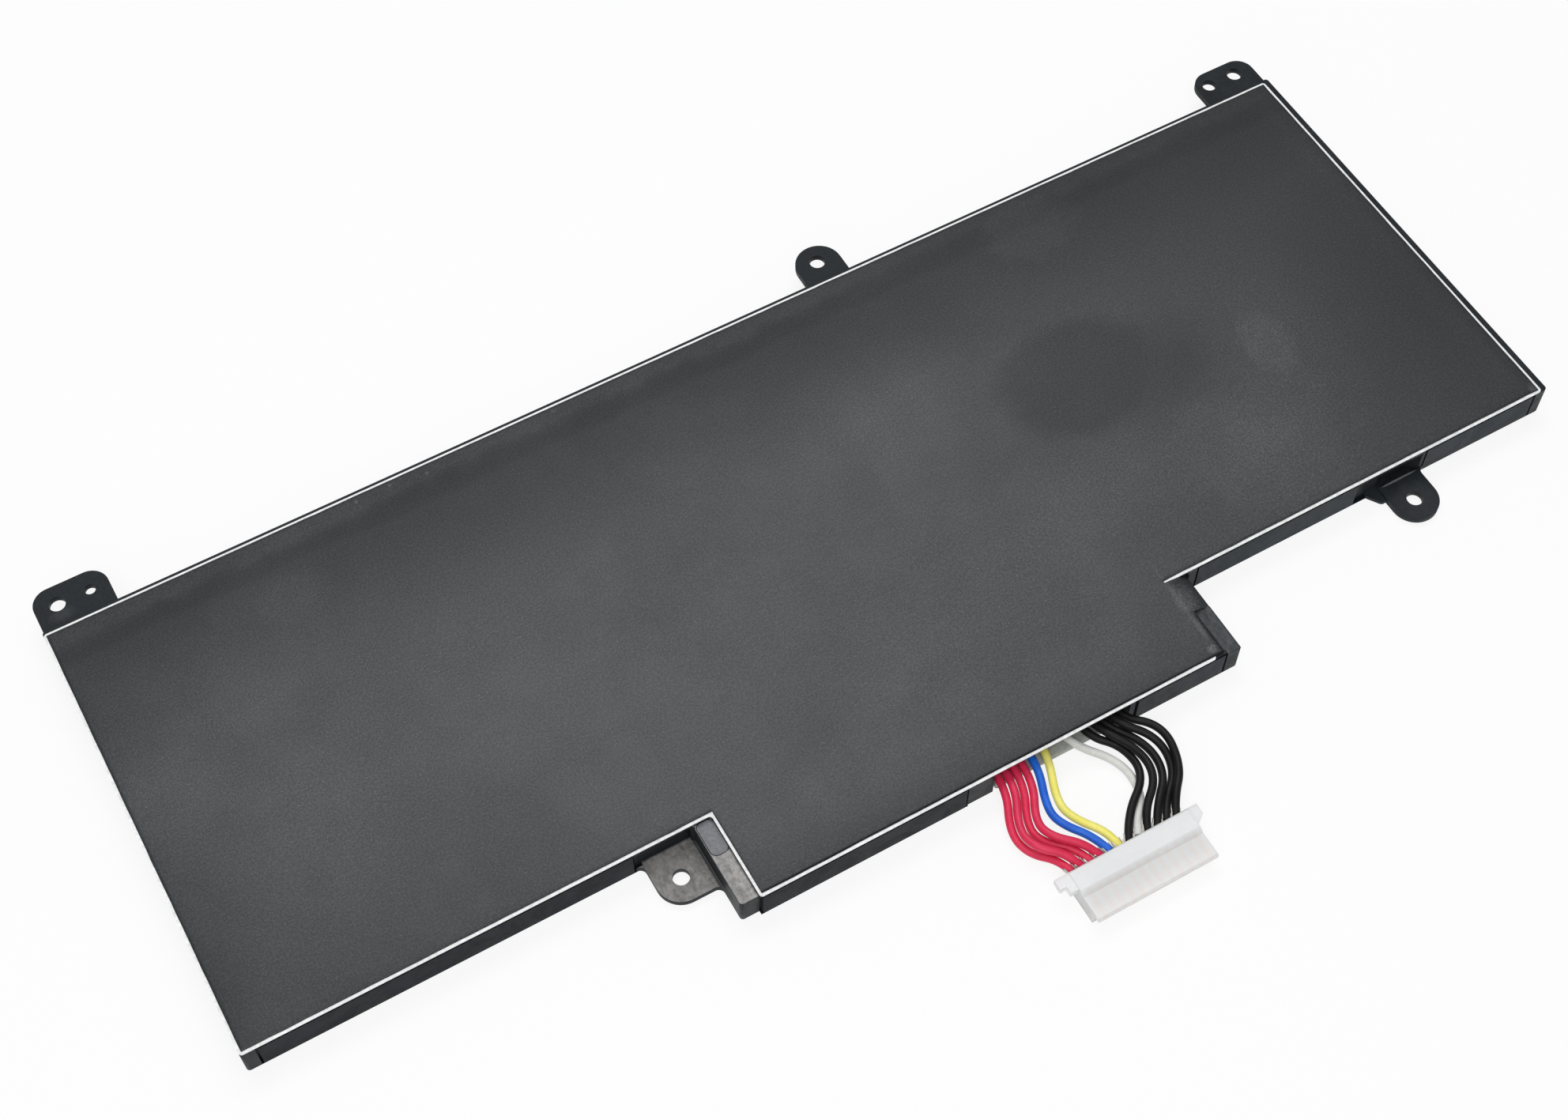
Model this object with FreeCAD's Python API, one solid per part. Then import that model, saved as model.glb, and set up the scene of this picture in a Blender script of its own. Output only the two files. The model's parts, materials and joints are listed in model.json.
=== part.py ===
import FreeCAD
import Part
import math
import os

V = FreeCAD.Vector

# Flat lithium pack of a small tablet, in millimetres, lying on its base film with +Z up.
# The origin is the middle of the pack's box on its underside, without the leads and plug.

# Frame
FRAME_LENGTH = 164.8
FRAME_DEPTH = 56.1
FRAME_HEIGHT = 4.15
WALL = 1.3
RIB = 1.0
FILM = 0.15
OUTER_CORNER = 0.4
INNER_CORNER = 0.4
BAY_CORNER = 1.0

# Middle block, which stands forward of the front wall and holds the board
BLOCK_DEPTH = 10.75
BLOCK_LENGTH = 62.65
LEDGE_FROM_LEFT = 51.3
LEDGE_WIDTH = 2.15
LEDGE_DROP = 0.35
LEDGE_SETBACK = 0.45
LEDGE_PAD_LENGTH = 4.2
LEDGE_PAD_DEPTH = 0.15
LEDGE_PAD_RIM = 0.4
LEDGE_PAD_CORNER = 0.8
RIGHT_LEDGE_WIDTH = 2.15
RIGHT_LEDGE_ROUND = 0.45
SHOULDER_LENGTH = 4.6
SHOULDER_WIDTH = 3.05
SHOULDER_HEIGHT = 2.3
SHOULDER_RADIUS = 5.0
SHOULDER_EDGE = 0.35
SHOULDER_GAP = 0.05

# Films
FILM_INSET_RIGHT = 0.8
FILM_INSET_BACK = 0.45
FILM_CORNER = 0.4
WHITE_EDGE = 0.3
WHITE_STOP = 1.3
FLAP_DROP = 0.3
CORNER_POST = 1.6
BLOCK_POST = 1.9
NOTCH_POST = 1.45
SEAM = 0.1
FLAP_SEAM = 0.25
FLAP_SEAM_DEPTH = 0.6

# Ears and their holes
EAR_THICKNESS = 0.8
EAR_REACH = 5.5
EAR_DROP = 0.5
EAR_INSET = 0.15
EAR_CORNER = 2.2
EAR_FILLET = 0.8
ROUND_END_GAP = 0.01
FRONT_EAR_RADIUS = 2.85
SCREW_HOLE = 1.9
PEG_HOLE_LEFT = 1.3
PEG_HOLE_RIGHT = 1.75
CORNER_SCREW_INSET = 2.8
PEG_OFFSET = 3.87
LEFT_EAR_LENGTH = 8.8
RIGHT_EAR_LENGTH = 8.35
RIGHT_EAR_SETBACK = 0.4
MIDDLE_EAR_FROM_LEFT = 100.4
MIDDLE_EAR_WIDTH = 5.8
BACK_SCREW_OFFSET = 3.05
LEFT_EAR_FROM_LEFT = 48.0
RIGHT_EAR_FROM_RIGHT = 20.8
FRONT_SCREW_OFFSET = 3.2
EAR_BAY_DEPTH = 0.5
EAR_POCKET_DEPTH = 0.95
EAR_POCKET_ROOF = 0.45
LEFT_BAY_MARGIN = 0.75
GUSSET = 1.7
GUSSET_THICKNESS = 0.5
EAR_SLOT_FLOOR = 0.3
RIGHT_BAY_LEFT_MARGIN = 3.2
RIGHT_BAY_RIGHT_MARGIN = 0.45

# Pouch cells
CELL_GAP = 0.45
CELL_THICKNESS = 4.0
CELL_CORNER = 2.0
CELL_EDGE = 0.7
CELL_FOLD = 0.3
CELL_FOLD_HEIGHT = 2.8
TERRACE_DEPTH = 3.6
TERRACE_THICKNESS = 0.35
TERRACE_INSET = 2.5
TAB_WIDTH = 4.0
TAB_THICKNESS = 0.15
TAB_ON_BOARD = 2.2
TAB_PITCH = 9.0
LEFT_TABS_FROM_LEDGE = 15.7
RIGHT_TABS_FROM_BLOCK_END = 9.95

# Board
BOARD_HEIGHT = 0.5
BOARD_THICKNESS = 0.8
BOARD_GAP = 0.25
BOARD_BACK_SETBACK = 0.6
BOARD_CORNER = 0.6
SHELF = 1.2
OPENING_FROM_LEFT = 82.05
OPENING_LENGTH = 17.35
BARE_WALL_LEFT = 3.2
BARE_WALL_RIGHT = 0.7
OPENING_ROOF = 0.3
OPENING_GAP = 0.3
BOARD_SETBACK = 0.05
CHIP_ROW_OFFSET = 5.6
PIN_LENGTH = 0.2
CAP_PROUD = 0.03

# Chips: place along the board, place in front of the chip row, side, height
GAUGE_CHIP = (14.6, 0, 4.0, 0.8)
PROTECTION_CHIP = (19.6, 0, 2.2, 0.7)
SWITCH_TRANSISTORS = [(4.2, 0, 3.2, 0.9), (8.8, 0, 3.2, 0.9)]
GAUGE_PIN_COUNT = 6
PROTECTION_PIN_COUNT = 3
SWITCH_PIN_COUNT = 4

# Small parts: place along the board, place in front of the chip row, length, width, height.
# A place below zero is measured from the board's right end.
BOARD_FUSE = (20.0, 2.7, 3.2, 1.6, 0.8)
SENSE_RESISTOR = (-5.75, 0, 3.2, 1.6, 0.6)
THERMISTOR = (-2.25, 0, 1.6, 0.8, 0.7)
SMALL_PART_COUNT = 6
SMALL_PART_PITCH = 1.9
FIRST_CAPACITOR = (2.6, 2.2, 1.0, 0.5, 0.5)
FIRST_RESISTOR = (2.6, 2.95, 1.0, 0.5, 0.35)

# Leads and plug
LEAD_DIAMETER = 0.93
LEAD_LIFT = 0.01
SOLDER_OFFSET = 7.4
SOLDER_ROW_STEP = 1.4
SOLDER_LENGTH = 1.0
SOLDER_WIDTH = 0.92
SOLDER_HEIGHT = 0.45
SOLDER_SLOPE = 0.2
SOLDER_GAP = 0.06
PLUG_PITCH = 1.2
PLUG_COUNT = 12
SECOND_ROW_COUNT = 5
PLUG_FIRST_FROM_LEFT = 83.9
PLUG_REACH = 23.1
PLUG_LENGTH = 6.0
PLUG_END_WALL = 0.9
PLUG_HEIGHT = 2.9
PLUG_NOSE_HEIGHT = 2.4
PLUG_NOSE_LENGTH = 2.9
PLUG_RAMP = 0.7
PLUG_LIP = 0.9
PLUG_LIP_HEIGHT = 0.75
PLUG_EDGE = 0.2
PLUG_FRONT_WALL = 0.6
FLANGE_LEFT = 1.7
FLANGE_RIGHT = 1.2
FLANGE_STEP = 0.75
FLANGE_LENGTH = 1.25
FLANGE_LONG = 2.1
FLANGE_LOW = 1.7
FLANGE_HIGH = 2.7
CAVITY_WIDTH = 0.96
CAVITY_HEIGHT = 1.15
CONTACT_AXIS = 1.25
CONTACT_GAP = 0.08
CONTACT_LENGTH = 2.8
CONTACT_HEIGHT = 1.0
CRIMP_WIDTH = 0.7
CRIMP_TAIL = 1.0
CRIMP_SHEET = 0.08
PIN_WINDOW = 0.5
LEAD_END_GAP = 0.4
CRIMP_END_GAP = 0.36

# The leads in the order of their seats in the plug, with their bends measured from the pack's left end,
# front wall and floor. The first ones are soldered in a second row, nearer to the opening.
LEAD_BENDS = {
    "red_lead_1": [
        (82.88, -11.86, 2.18), (80.55, -16.22, 1.45), (81.28, -18.98, 0.63), (83.5, -21.39, 1.27),
    ],
    "red_lead_2": [
        (83.92, -12.01, 2.39), (81.31, -16.56, 2.13), (81.68, -19.4, 2.6), (84.45, -21.55, 2.07),
    ],
    "red_lead_3": [
        (84.97, -12.05, 2.04), (82.72, -16.22, 0.91), (83.01, -18.84, 1.41), (85.77, -21.28, 1.47),
    ],
    "red_lead_4": [
        (86.01, -12.35, 1.87), (83.45, -16.54, 1.91), (83.82, -19.15, 2.56), (86.72, -21.6, 2.27),
    ],
    "blue_lead": [
        (87.3, -11.21, 2.07), (85.65, -15.48, 1.18), (85.7, -18.0, 1.72), (88.26, -21.06, 1.27),
    ],
    "yellow_lead": [
        (89.06, -10.37, 2.11), (86.91, -15.56, 1.02), (87.44, -18.57, 1.79), (89.64, -21.33, 1.66),
    ],
    "black_lead_1": [
        (93.83, -10.74, 1.87), (96.69, -13.31, 1.4), (96.81, -17.64, 1.8), (92.42, -20.67, 1.75),
    ],
    "white_lead": [
        (91.54, -10.55, 1.99), (95.87, -14.54, 0.61), (95.63, -19.16, 0.79), (93.09, -21.47, 1.27),
    ],
    "black_lead_2": [
        (94.88, -10.26, 2.55), (97.73, -15.1, 2.39), (97.34, -18.81, 2.51), (94.22, -21.26, 1.89),
    ],
    "black_lead_3": [
        (95.93, -10.14, 1.95), (99.11, -14.31, 1.49), (98.76, -18.58, 1.92), (95.79, -21.38, 1.84),
    ],
    "black_lead_4": [
        (96.97, -11.05, 2.82), (100.39, -14.46, 2.03), (100.15, -18.54, 1.29), (97.02, -21.26, 1.27),
    ],
    "black_lead_5": [
        (98.02, -10.33, 1.87), (101.58, -13.84, 2.42), (100.58, -18.85, 2.2), (97.97, -21.49, 1.87),
    ],
}

# Levels
frame_bottom = FILM
frame_top = frame_bottom + FRAME_HEIGHT
backing_top = frame_top + FILM
pack_top = backing_top + FILM
flap_top = frame_top - FLAP_DROP
ledge_top = frame_top - LEDGE_DROP
shoulder_bottom = frame_top - SHOULDER_HEIGHT
back_ear_top = frame_top - EAR_DROP
board_bottom = BOARD_HEIGHT
board_top = board_bottom + BOARD_THICKNESS

# Places across the pack
left = -FRAME_LENGTH / 2
right = FRAME_LENGTH / 2
ledge_left = left + LEDGE_FROM_LEFT
ledge_right = ledge_left + LEDGE_WIDTH
block_right = ledge_left + BLOCK_LENGTH
right_ledge_left = block_right - RIGHT_LEDGE_WIDTH
shoulder_left = block_right - SHOULDER_WIDTH
film_right = right - FILM_INSET_RIGHT
rib_left = -RIB / 2
rib_right = RIB / 2
block_bay_left = ledge_right + WALL
block_bay_right = right_ledge_left - WALL
opening_left = left + OPENING_FROM_LEFT
opening_right = opening_left + OPENING_LENGTH
bare_left = opening_left - BARE_WALL_LEFT
bare_right = opening_right + BARE_WALL_RIGHT
left_ear_x = left + LEFT_EAR_FROM_LEFT
right_ear_x = right - RIGHT_EAR_FROM_RIGHT
left_bay_start = left_ear_x - FRONT_EAR_RADIUS - LEFT_BAY_MARGIN
right_bay_start = right_ear_x - FRONT_EAR_RADIUS - RIGHT_BAY_LEFT_MARGIN
right_bay_end = right_ear_x + FRONT_EAR_RADIUS + RIGHT_BAY_RIGHT_MARGIN

# Places along the pack
front = (BLOCK_DEPTH - FRAME_DEPTH - EAR_REACH) / 2
back = front + FRAME_DEPTH
film_back = back - FILM_INSET_BACK
block_front = front - BLOCK_DEPTH
ledge_front = block_front + LEDGE_SETBACK
block_bay_front = block_front + WALL
shoulder_front = front - SHOULDER_LENGTH
back_screw_y = back + BACK_SCREW_OFFSET
front_screw_y = front - FRONT_SCREW_OFFSET
cell_front = front + WALL + CELL_GAP + TERRACE_DEPTH
cell_back = back - WALL - CELL_GAP
board_left = block_bay_left + BOARD_GAP
board_right = block_bay_right - BOARD_GAP
board_back = front - BOARD_BACK_SETBACK
board_front = block_bay_front + BOARD_GAP
solder_y = front - SOLDER_OFFSET
plug_entry = front - PLUG_REACH
plug_rear = plug_entry - LEAD_END_GAP
plug_front = plug_rear - PLUG_LENGTH
plug_step = plug_front + PLUG_NOSE_LENGTH
plug_face = plug_front + PLUG_LIP
chip_row = front - CHIP_ROW_OFFSET


def box(x0, x1, y0, y1, z0, z1):
    return Part.makeBox(x1 - x0, y1 - y0, z1 - z0, V(x0, y0, z0))


def rounded_wire(corners, z):
    """Closed outline through (x, y, radius) corners, each rounded by its own radius."""
    arcs = []
    for i, (x, y, radius) in enumerate(corners):
        here = V(x, y, z)
        before = V(corners[i - 1][0], corners[i - 1][1], z) - here
        after = V(corners[(i + 1) % len(corners)][0], corners[(i + 1) % len(corners)][1], z) - here
        before.normalize()
        after.normalize()
        half = before.getAngle(after) / 2
        middle = before + after
        if radius == 0 or middle.Length < 1e-6:
            arcs.append((here, None, here))
            continue
        middle.normalize()
        reach = radius / math.tan(half)
        crown = here + middle * (radius / math.sin(half) - radius)
        arcs.append((here + before * reach, crown, here + after * reach))
    edges = []
    for i, (start, crown, end) in enumerate(arcs):
        if crown:
            edges.append(Part.Arc(start, crown, end).toShape())
        following = arcs[(i + 1) % len(arcs)][0]
        if (following - end).Length > 1e-6:
            edges.append(Part.makeLine(end, following))
    return Part.Wire(edges)


def plate(corners, z0, z1):
    return Part.Face(rounded_wire(corners, z0)).extrude(V(0, 0, z1 - z0))


def rectangle(x0, x1, y0, y1, radius):
    return [(x0, y0, radius), (x1, y0, radius), (x1, y1, radius), (x0, y1, radius)]


def drill(x, y, diameter):
    return Part.makeCylinder(diameter / 2, pack_top, V(x, y, 0))


def pack_outline(corner):
    """The pack seen from above, with the step where the ledge stands back from the block."""
    return [
        (left, front, corner),
        (ledge_left, front, INNER_CORNER),
        (ledge_left, ledge_front, INNER_CORNER),
        (ledge_right, ledge_front, 0),
        (ledge_right, block_front, 0),
        (block_right, block_front, corner),
        (block_right, front, INNER_CORNER),
        (right, front, corner),
        (right, back, corner),
        (left, back, corner),
    ]


def flap_spans():
    """Start, end and wall plane of each flap that the base film folds up the front walls."""
    return [
        (left + CORNER_POST, left_bay_start, front),
        (ledge_right, bare_left, block_front),
        (bare_right, block_right - BLOCK_POST, block_front),
        (block_right + NOTCH_POST, right_bay_start, front),
        (right_bay_end, right - CORNER_POST, front),
    ]


def front_ear(x, x_end, radius_end, inner):
    """Ear plate at the foot of the front wall; its end is round about the screw."""
    x0 = x - FRONT_EAR_RADIUS
    tip = front_screw_y - FRONT_EAR_RADIUS
    round_end = FRONT_EAR_RADIUS - ROUND_END_GAP
    top = frame_bottom + EAR_THICKNESS
    corners = [(x0, tip, round_end), (x_end, tip, radius_end), (x_end, inner, 0), (x0, inner, 0)]
    return plate(corners, frame_bottom, top)


def root_fillet(x, y, side, way, z0, z1):
    """Concave fillet in the corner where an ear's side meets a wall at (x, y)."""
    reach = EAR_FILLET * side
    rise = EAR_FILLET * way
    centre = V(x + reach, y + rise, z0)
    lower = (min(x, x + reach), min(y, y + rise))
    block = Part.makeBox(EAR_FILLET, EAR_FILLET, z1 - z0, V(lower[0], lower[1], z0))
    return block.cut(Part.makeCylinder(EAR_FILLET, z1 - z0, centre))


def front_ears():
    top = frame_bottom + EAR_THICKNESS
    right_side = right_ear_x + FRONT_EAR_RADIUS
    left_side = right_ear_x - FRONT_EAR_RADIUS
    ear_left = front_ear(left_ear_x, ledge_left + EAR_FILLET, 0, front + WALL)
    ear_right = front_ear(right_ear_x, right_side, FRONT_EAR_RADIUS - ROUND_END_GAP, front)
    slot_floor = box(left_side, right_side, front - EAR_FILLET, front + WALL, frame_bottom,
                     frame_bottom + EAR_SLOT_FLOOR)
    ear_right = ear_right.fuse(slot_floor)
    tip = front_screw_y - FRONT_EAR_RADIUS
    ear_left = ear_left.fuse(root_fillet(ledge_left, tip, -1, -1, frame_bottom, top))
    ear_left = ear_left.fuse(root_fillet(left_ear_x - FRONT_EAR_RADIUS, front, -1, -1, frame_bottom, top))
    ear_right = ear_right.fuse(root_fillet(right_side, front, 1, -1, frame_bottom, top))
    web = [
        (left_side - GUSSET, front + WALL, 0),
        (left_side - GUSSET, front, 0),
        (left_side - GUSSET / 3, front - GUSSET, GUSSET / 3),
        (left_side + GUSSET, front - GUSSET, 0),
        (left_side + GUSSET, front + WALL, 0),
    ]
    gusset = plate(web, frame_bottom, frame_bottom + GUSSET_THICKNESS)
    return ear_left.fuse(ear_right).fuse(gusset)


def back_ears():
    top = back_ear_top
    bottom = top - EAR_THICKNESS
    inner = back - WALL / 2
    tip = back + EAR_REACH
    right_tip = tip - RIGHT_EAR_SETBACK
    middle = left + MIDDLE_EAR_FROM_LEFT
    half = MIDDLE_EAR_WIDTH / 2
    left_end = left + EAR_INSET
    right_start = right - EAR_INSET - RIGHT_EAR_LENGTH
    spans = [
        (left_end, left_end + LEFT_EAR_LENGTH, tip, EAR_CORNER),
        (middle - half, middle + half, tip, half - ROUND_END_GAP),
        (right_start, right - EAR_INSET, right_tip, EAR_CORNER),
    ]
    ears = []
    for x0, x1, end, radius in spans:
        corners = [(x0, inner, 0), (x1, inner, 0), (x1, end, radius), (x0, end, radius)]
        ears.append(plate(corners, bottom, top))
    return ears[0].fuse(ears[1:])


def board_shelf():
    """Step along three sides of the block's bay that the board lies on."""
    outer = box(block_bay_left, block_bay_right, block_bay_front, front, frame_bottom, board_bottom)
    inner_left = block_bay_left + SHELF
    inner_right = block_bay_right - SHELF
    return outer.cut(box(inner_left, inner_right, block_bay_front + SHELF, front, 0, board_bottom))


def shoulder_cut():
    """Takes the block's right wall back to a round that the cover film rolls over."""
    waste = box(shoulder_left, block_right, shoulder_front, front, shoulder_bottom, frame_top)
    return waste.cut(shoulder_core(SHOULDER_RADIUS, block_right - 2 * FILM))


def shoulder_core(radius, side):
    """Round of the shoulder with its flat side."""
    centre = V(shoulder_left, shoulder_front, frame_top - SHOULDER_RADIUS)
    core = Part.makeCylinder(radius, SHOULDER_LENGTH, centre, V(0, 1, 0))
    return core.common(box(shoulder_left, side, shoulder_front, front, shoulder_bottom, pack_top))


def right_ledge_cut():
    """Lowers the block's right wall to the ledge and rounds the ledge's outer edge."""
    waste = box(right_ledge_left, block_right, block_front, shoulder_front, ledge_top, pack_top)
    x = block_right - RIGHT_LEDGE_ROUND
    z = ledge_top - RIGHT_LEDGE_ROUND
    strip = box(x, block_right, block_front, shoulder_front, z, ledge_top)
    length = shoulder_front - block_front
    core = Part.makeCylinder(RIGHT_LEDGE_ROUND, length, V(x, block_front, z), V(0, 1, 0))
    return waste.fuse(strip.cut(core))


def frame():
    body = plate(pack_outline(OUTER_CORNER), frame_bottom, frame_top)
    bay_back = back - WALL
    bay_front = front + WALL
    bays = [
        plate(rectangle(left + WALL, rib_left, bay_front, bay_back, BAY_CORNER), 0, pack_top),
        plate(rectangle(rib_right, right - WALL, bay_front, bay_back, BAY_CORNER), 0, pack_top),
        box(block_bay_left, block_bay_right, block_bay_front, bay_front + BAY_CORNER, 0, pack_top),
    ]
    for bay in bays:
        body = body.cut(bay)
    body = body.fuse(board_shelf())
    lintel = frame_top - OPENING_ROOF
    sill_back = block_bay_front + SHELF
    body = body.cut(box(opening_left, opening_right, block_front, sill_back, 0, lintel))
    body = body.cut(box(ledge_left, ledge_right, block_front, front, ledge_top, pack_top))
    pad = rectangle(ledge_left + LEDGE_PAD_RIM, ledge_right + LEDGE_PAD_CORNER, front - LEDGE_PAD_LENGTH,
                    front + LEDGE_PAD_CORNER, LEDGE_PAD_CORNER)
    pad_cut = plate(pad, ledge_top - LEDGE_PAD_DEPTH, ledge_top)
    body = body.cut(pad_cut.common(box(ledge_left, ledge_right, block_front, front, 0, pack_top)))
    body = body.cut(right_ledge_cut())
    body = body.cut(shoulder_cut())
    body = body.cut(box(bare_left, bare_right, block_front, block_front + FILM, 0, pack_top))
    for start, end, wall in flap_spans():
        body = body.cut(box(start, end, wall, wall + FILM, 0, pack_top))
        for seam in (start, end - FLAP_SEAM):
            body = body.cut(box(seam, seam + FLAP_SEAM, wall, wall + FLAP_SEAM_DEPTH, 0, flap_top))
    roof = frame_top - EAR_POCKET_ROOF
    bay_end = front + EAR_BAY_DEPTH
    body = body.cut(box(left_bay_start, ledge_left, front, bay_end, 0, roof))
    pocket_left = right_ear_x - FRONT_EAR_RADIUS
    pocket_right = right_ear_x + FRONT_EAR_RADIUS
    body = body.cut(box(right_bay_start, pocket_right - EAR_POCKET_DEPTH, front, bay_end, 0, roof))
    pocket = [(pocket_left, front, 0), (pocket_right, front, 0),
              (pocket_right - EAR_POCKET_DEPTH, front + EAR_POCKET_DEPTH, 0),
              (pocket_left, front + EAR_POCKET_DEPTH, 0)]
    body = body.cut(plate(pocket, 0, roof))
    body = body.fuse(front_ears()).fuse(back_ears())
    for x, y, diameter in ear_holes():
        body = body.cut(drill(x, y, diameter))
    return body.removeSplitter()


def ear_holes():
    left_screw = left + CORNER_SCREW_INSET
    right_screw = right - CORNER_SCREW_INSET
    return [
        (left_screw, back_screw_y, SCREW_HOLE),
        (left_screw + PEG_OFFSET, back_screw_y, PEG_HOLE_LEFT),
        (left + MIDDLE_EAR_FROM_LEFT, back_screw_y, SCREW_HOLE),
        (right_screw - PEG_OFFSET, back_screw_y, PEG_HOLE_RIGHT),
        (right_screw, back_screw_y, SCREW_HOLE),
        (left_ear_x, front_screw_y, SCREW_HOLE),
        (right_ear_x, front_screw_y, SCREW_HOLE),
    ]


def top_outline(margin, right_edge, shoulder_edge):
    """Top sheet's outline, drawn in by a margin; its sides on the right ledge have their own places."""
    return [
        (left + margin, front + margin, FILM_CORNER),
        (ledge_right + margin, front + margin, FILM_CORNER),
        (ledge_right + margin, block_front + margin, FILM_CORNER),
        (right_edge, block_front + margin, FILM_CORNER),
        (right_edge, shoulder_front, 0),
        (shoulder_edge, shoulder_front, 0),
        (shoulder_edge, front + margin, 0),
        (film_right - margin, front + margin, FILM_CORNER),
        (film_right - margin, film_back - margin, FILM_CORNER),
        (left + margin, film_back - margin, FILM_CORNER),
    ]


def backing_film():
    edge = right_ledge_left - WHITE_STOP
    return plate(top_outline(0, edge, shoulder_left), frame_top, backing_top)


def cover_film():
    """Top sheet with the tongue that rolls over the shoulder and down its side."""
    sheet = plate(top_outline(WHITE_EDGE, right_ledge_left - SEAM, shoulder_left), backing_top, pack_top)
    landing = box(right_ledge_left - WHITE_STOP, right_ledge_left - SEAM, block_front + WHITE_EDGE,
                  shoulder_front, frame_top, pack_top)
    outer = shoulder_core(SHOULDER_RADIUS + 2 * FILM, block_right)
    low = shoulder_bottom + SHOULDER_EDGE
    ridge = [e for e in outer.Edges if all(v.X > block_right - SEAM and v.Z > low for v in e.Vertexes)]
    outer = outer.makeFillet(SHOULDER_EDGE, ridge)
    inner = shoulder_core(SHOULDER_RADIUS + SHOULDER_GAP, block_right - 2 * FILM + SHOULDER_GAP)
    tongue = outer.cut(inner)
    return sheet.fuse(landing).fuse(tongue).removeSplitter()


def base_film():
    sheet = plate(pack_outline(OUTER_CORNER), 0, frame_bottom)
    sheet = sheet.cut(box(bare_left, bare_right, block_front, block_front + FILM, 0, frame_bottom))
    sheet = sheet.cut(box(opening_left, opening_right, block_front, block_bay_front, 0, frame_bottom))
    for start, end, wall in flap_spans():
        flap = box(start + FLAP_SEAM, end - FLAP_SEAM, wall, wall + FILM, 0, flap_top)
        sheet = sheet.fuse(flap)
    return sheet.removeSplitter()


def cell(x0, x1):
    """Sealed pouch: a cup with soft upper edges, folded side seams and a terrace for its tabs."""
    bottom = frame_bottom
    top = bottom + CELL_THICKNESS
    cup = plate(rectangle(x0, x1, cell_front, cell_back, CELL_CORNER), bottom, top)
    rim = [e for e in cup.Edges if all(abs(v.Z - top) < 1e-6 for v in e.Vertexes)]
    cup = cup.makeChamfer(CELL_EDGE, rim)
    fold_front = cell_front + CELL_CORNER
    fold_back = cell_back - CELL_CORNER
    for side in (x0 - CELL_FOLD, x1):
        cup = cup.fuse(box(side, side + CELL_FOLD, fold_front, fold_back, bottom, bottom + CELL_FOLD_HEIGHT))
    low = board_top + TAB_THICKNESS / 2 - TERRACE_THICKNESS / 2
    high = low + TERRACE_THICKNESS
    terrace_front = cell_front - TERRACE_DEPTH
    terrace = box(x0 + TERRACE_INSET, x1 - TERRACE_INSET, terrace_front, cell_front, low, high)
    return cup.fuse(terrace).removeSplitter()


def cells():
    inset = WALL + CELL_GAP + CELL_FOLD
    gap = CELL_GAP + CELL_FOLD
    return {
        "left_cell": cell(left + inset, rib_left - gap),
        "right_cell": cell(rib_right + gap, right - inset),
    }


def tabs():
    y0 = board_back - TAB_ON_BOARD
    y1 = cell_front - TERRACE_DEPTH
    shapes = {}
    places = [("left", ledge_left + LEFT_TABS_FROM_LEDGE), ("right", block_right - RIGHT_TABS_FROM_BLOCK_END)]
    for side, middle in places:
        for pole, x in (("positive", middle - TAB_PITCH / 2), ("negative", middle + TAB_PITCH / 2)):
            half = TAB_WIDTH / 2
            strip = box(x - half, x + half, y0, y1, board_top, board_top + TAB_THICKNESS)
            shapes[side + "_" + pole + "_tab"] = strip
    return shapes


def circuit_board():
    outline = rectangle(board_left, board_right, board_front, board_back, BOARD_CORNER)
    board = plate(outline, board_bottom, board_top)
    tongue = rectangle(opening_left + OPENING_GAP, opening_right - OPENING_GAP, block_front + BOARD_SETBACK,
                       board_front + BOARD_CORNER, BOARD_GAP)
    return board.fuse(plate(tongue, board_bottom, board_top)).removeSplitter()


def on_board(along, ahead):
    start = board_left
    if along < 0:
        start = board_right
    return start + along, chip_row - ahead


def square_chip(place, pins):
    """Moulded chip body with a row of pins on its two long sides."""
    along, ahead, side, height = place
    x, y = on_board(along, ahead)
    half = side / 2
    body = box(x - half, x + half, y - half, y + half, board_top, board_top + height)
    pitch = side / pins
    reach = half + PIN_LENGTH
    for i in range(pins):
        x0 = x - half + pitch * (i + 0.25)
        pin = box(x0, x0 + pitch / 2, y - reach, y + reach, board_top, board_top + PIN_LENGTH)
        body = body.fuse(pin)
    return body.removeSplitter()


def chip_part(along, ahead, length, width, height):
    """Surface-mount part with a metal cap at each end, a little larger than its body."""
    x, y = on_board(along, ahead)
    cap = length / 5
    x0 = x - length / 2
    x1 = x + length / 2
    half = width / 2
    proud = half + CAP_PROUD
    body = box(x0 + cap, x1 - cap, y - half, y + half, board_top, board_top + height - CAP_PROUD)
    for start in (x0, x1 - cap):
        body = body.fuse(box(start, start + cap, y - proud, y + proud, board_top, board_top + height))
    return body.removeSplitter()


def small_row(first):
    along, ahead, length, width, height = first
    row = []
    for i in range(SMALL_PART_COUNT):
        row.append(chip_part(along + SMALL_PART_PITCH * i, ahead, length, width, height))
    return Part.makeCompound(row)


def board_parts():
    switches = [square_chip(place, SWITCH_PIN_COUNT) for place in SWITCH_TRANSISTORS]
    return {
        "gauge_chip": square_chip(GAUGE_CHIP, GAUGE_PIN_COUNT),
        "protection_chip": square_chip(PROTECTION_CHIP, PROTECTION_PIN_COUNT),
        "switch_transistors": Part.makeCompound(switches),
        "board_fuse": chip_part(*BOARD_FUSE),
        "sense_resistor": chip_part(*SENSE_RESISTOR),
        "thermistor": chip_part(*THERMISTOR),
        "chip_capacitors": small_row(FIRST_CAPACITOR),
        "chip_resistors": small_row(FIRST_RESISTOR),
    }


def contact_x(i):
    return left + PLUG_FIRST_FROM_LEFT + PLUG_PITCH * i


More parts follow.
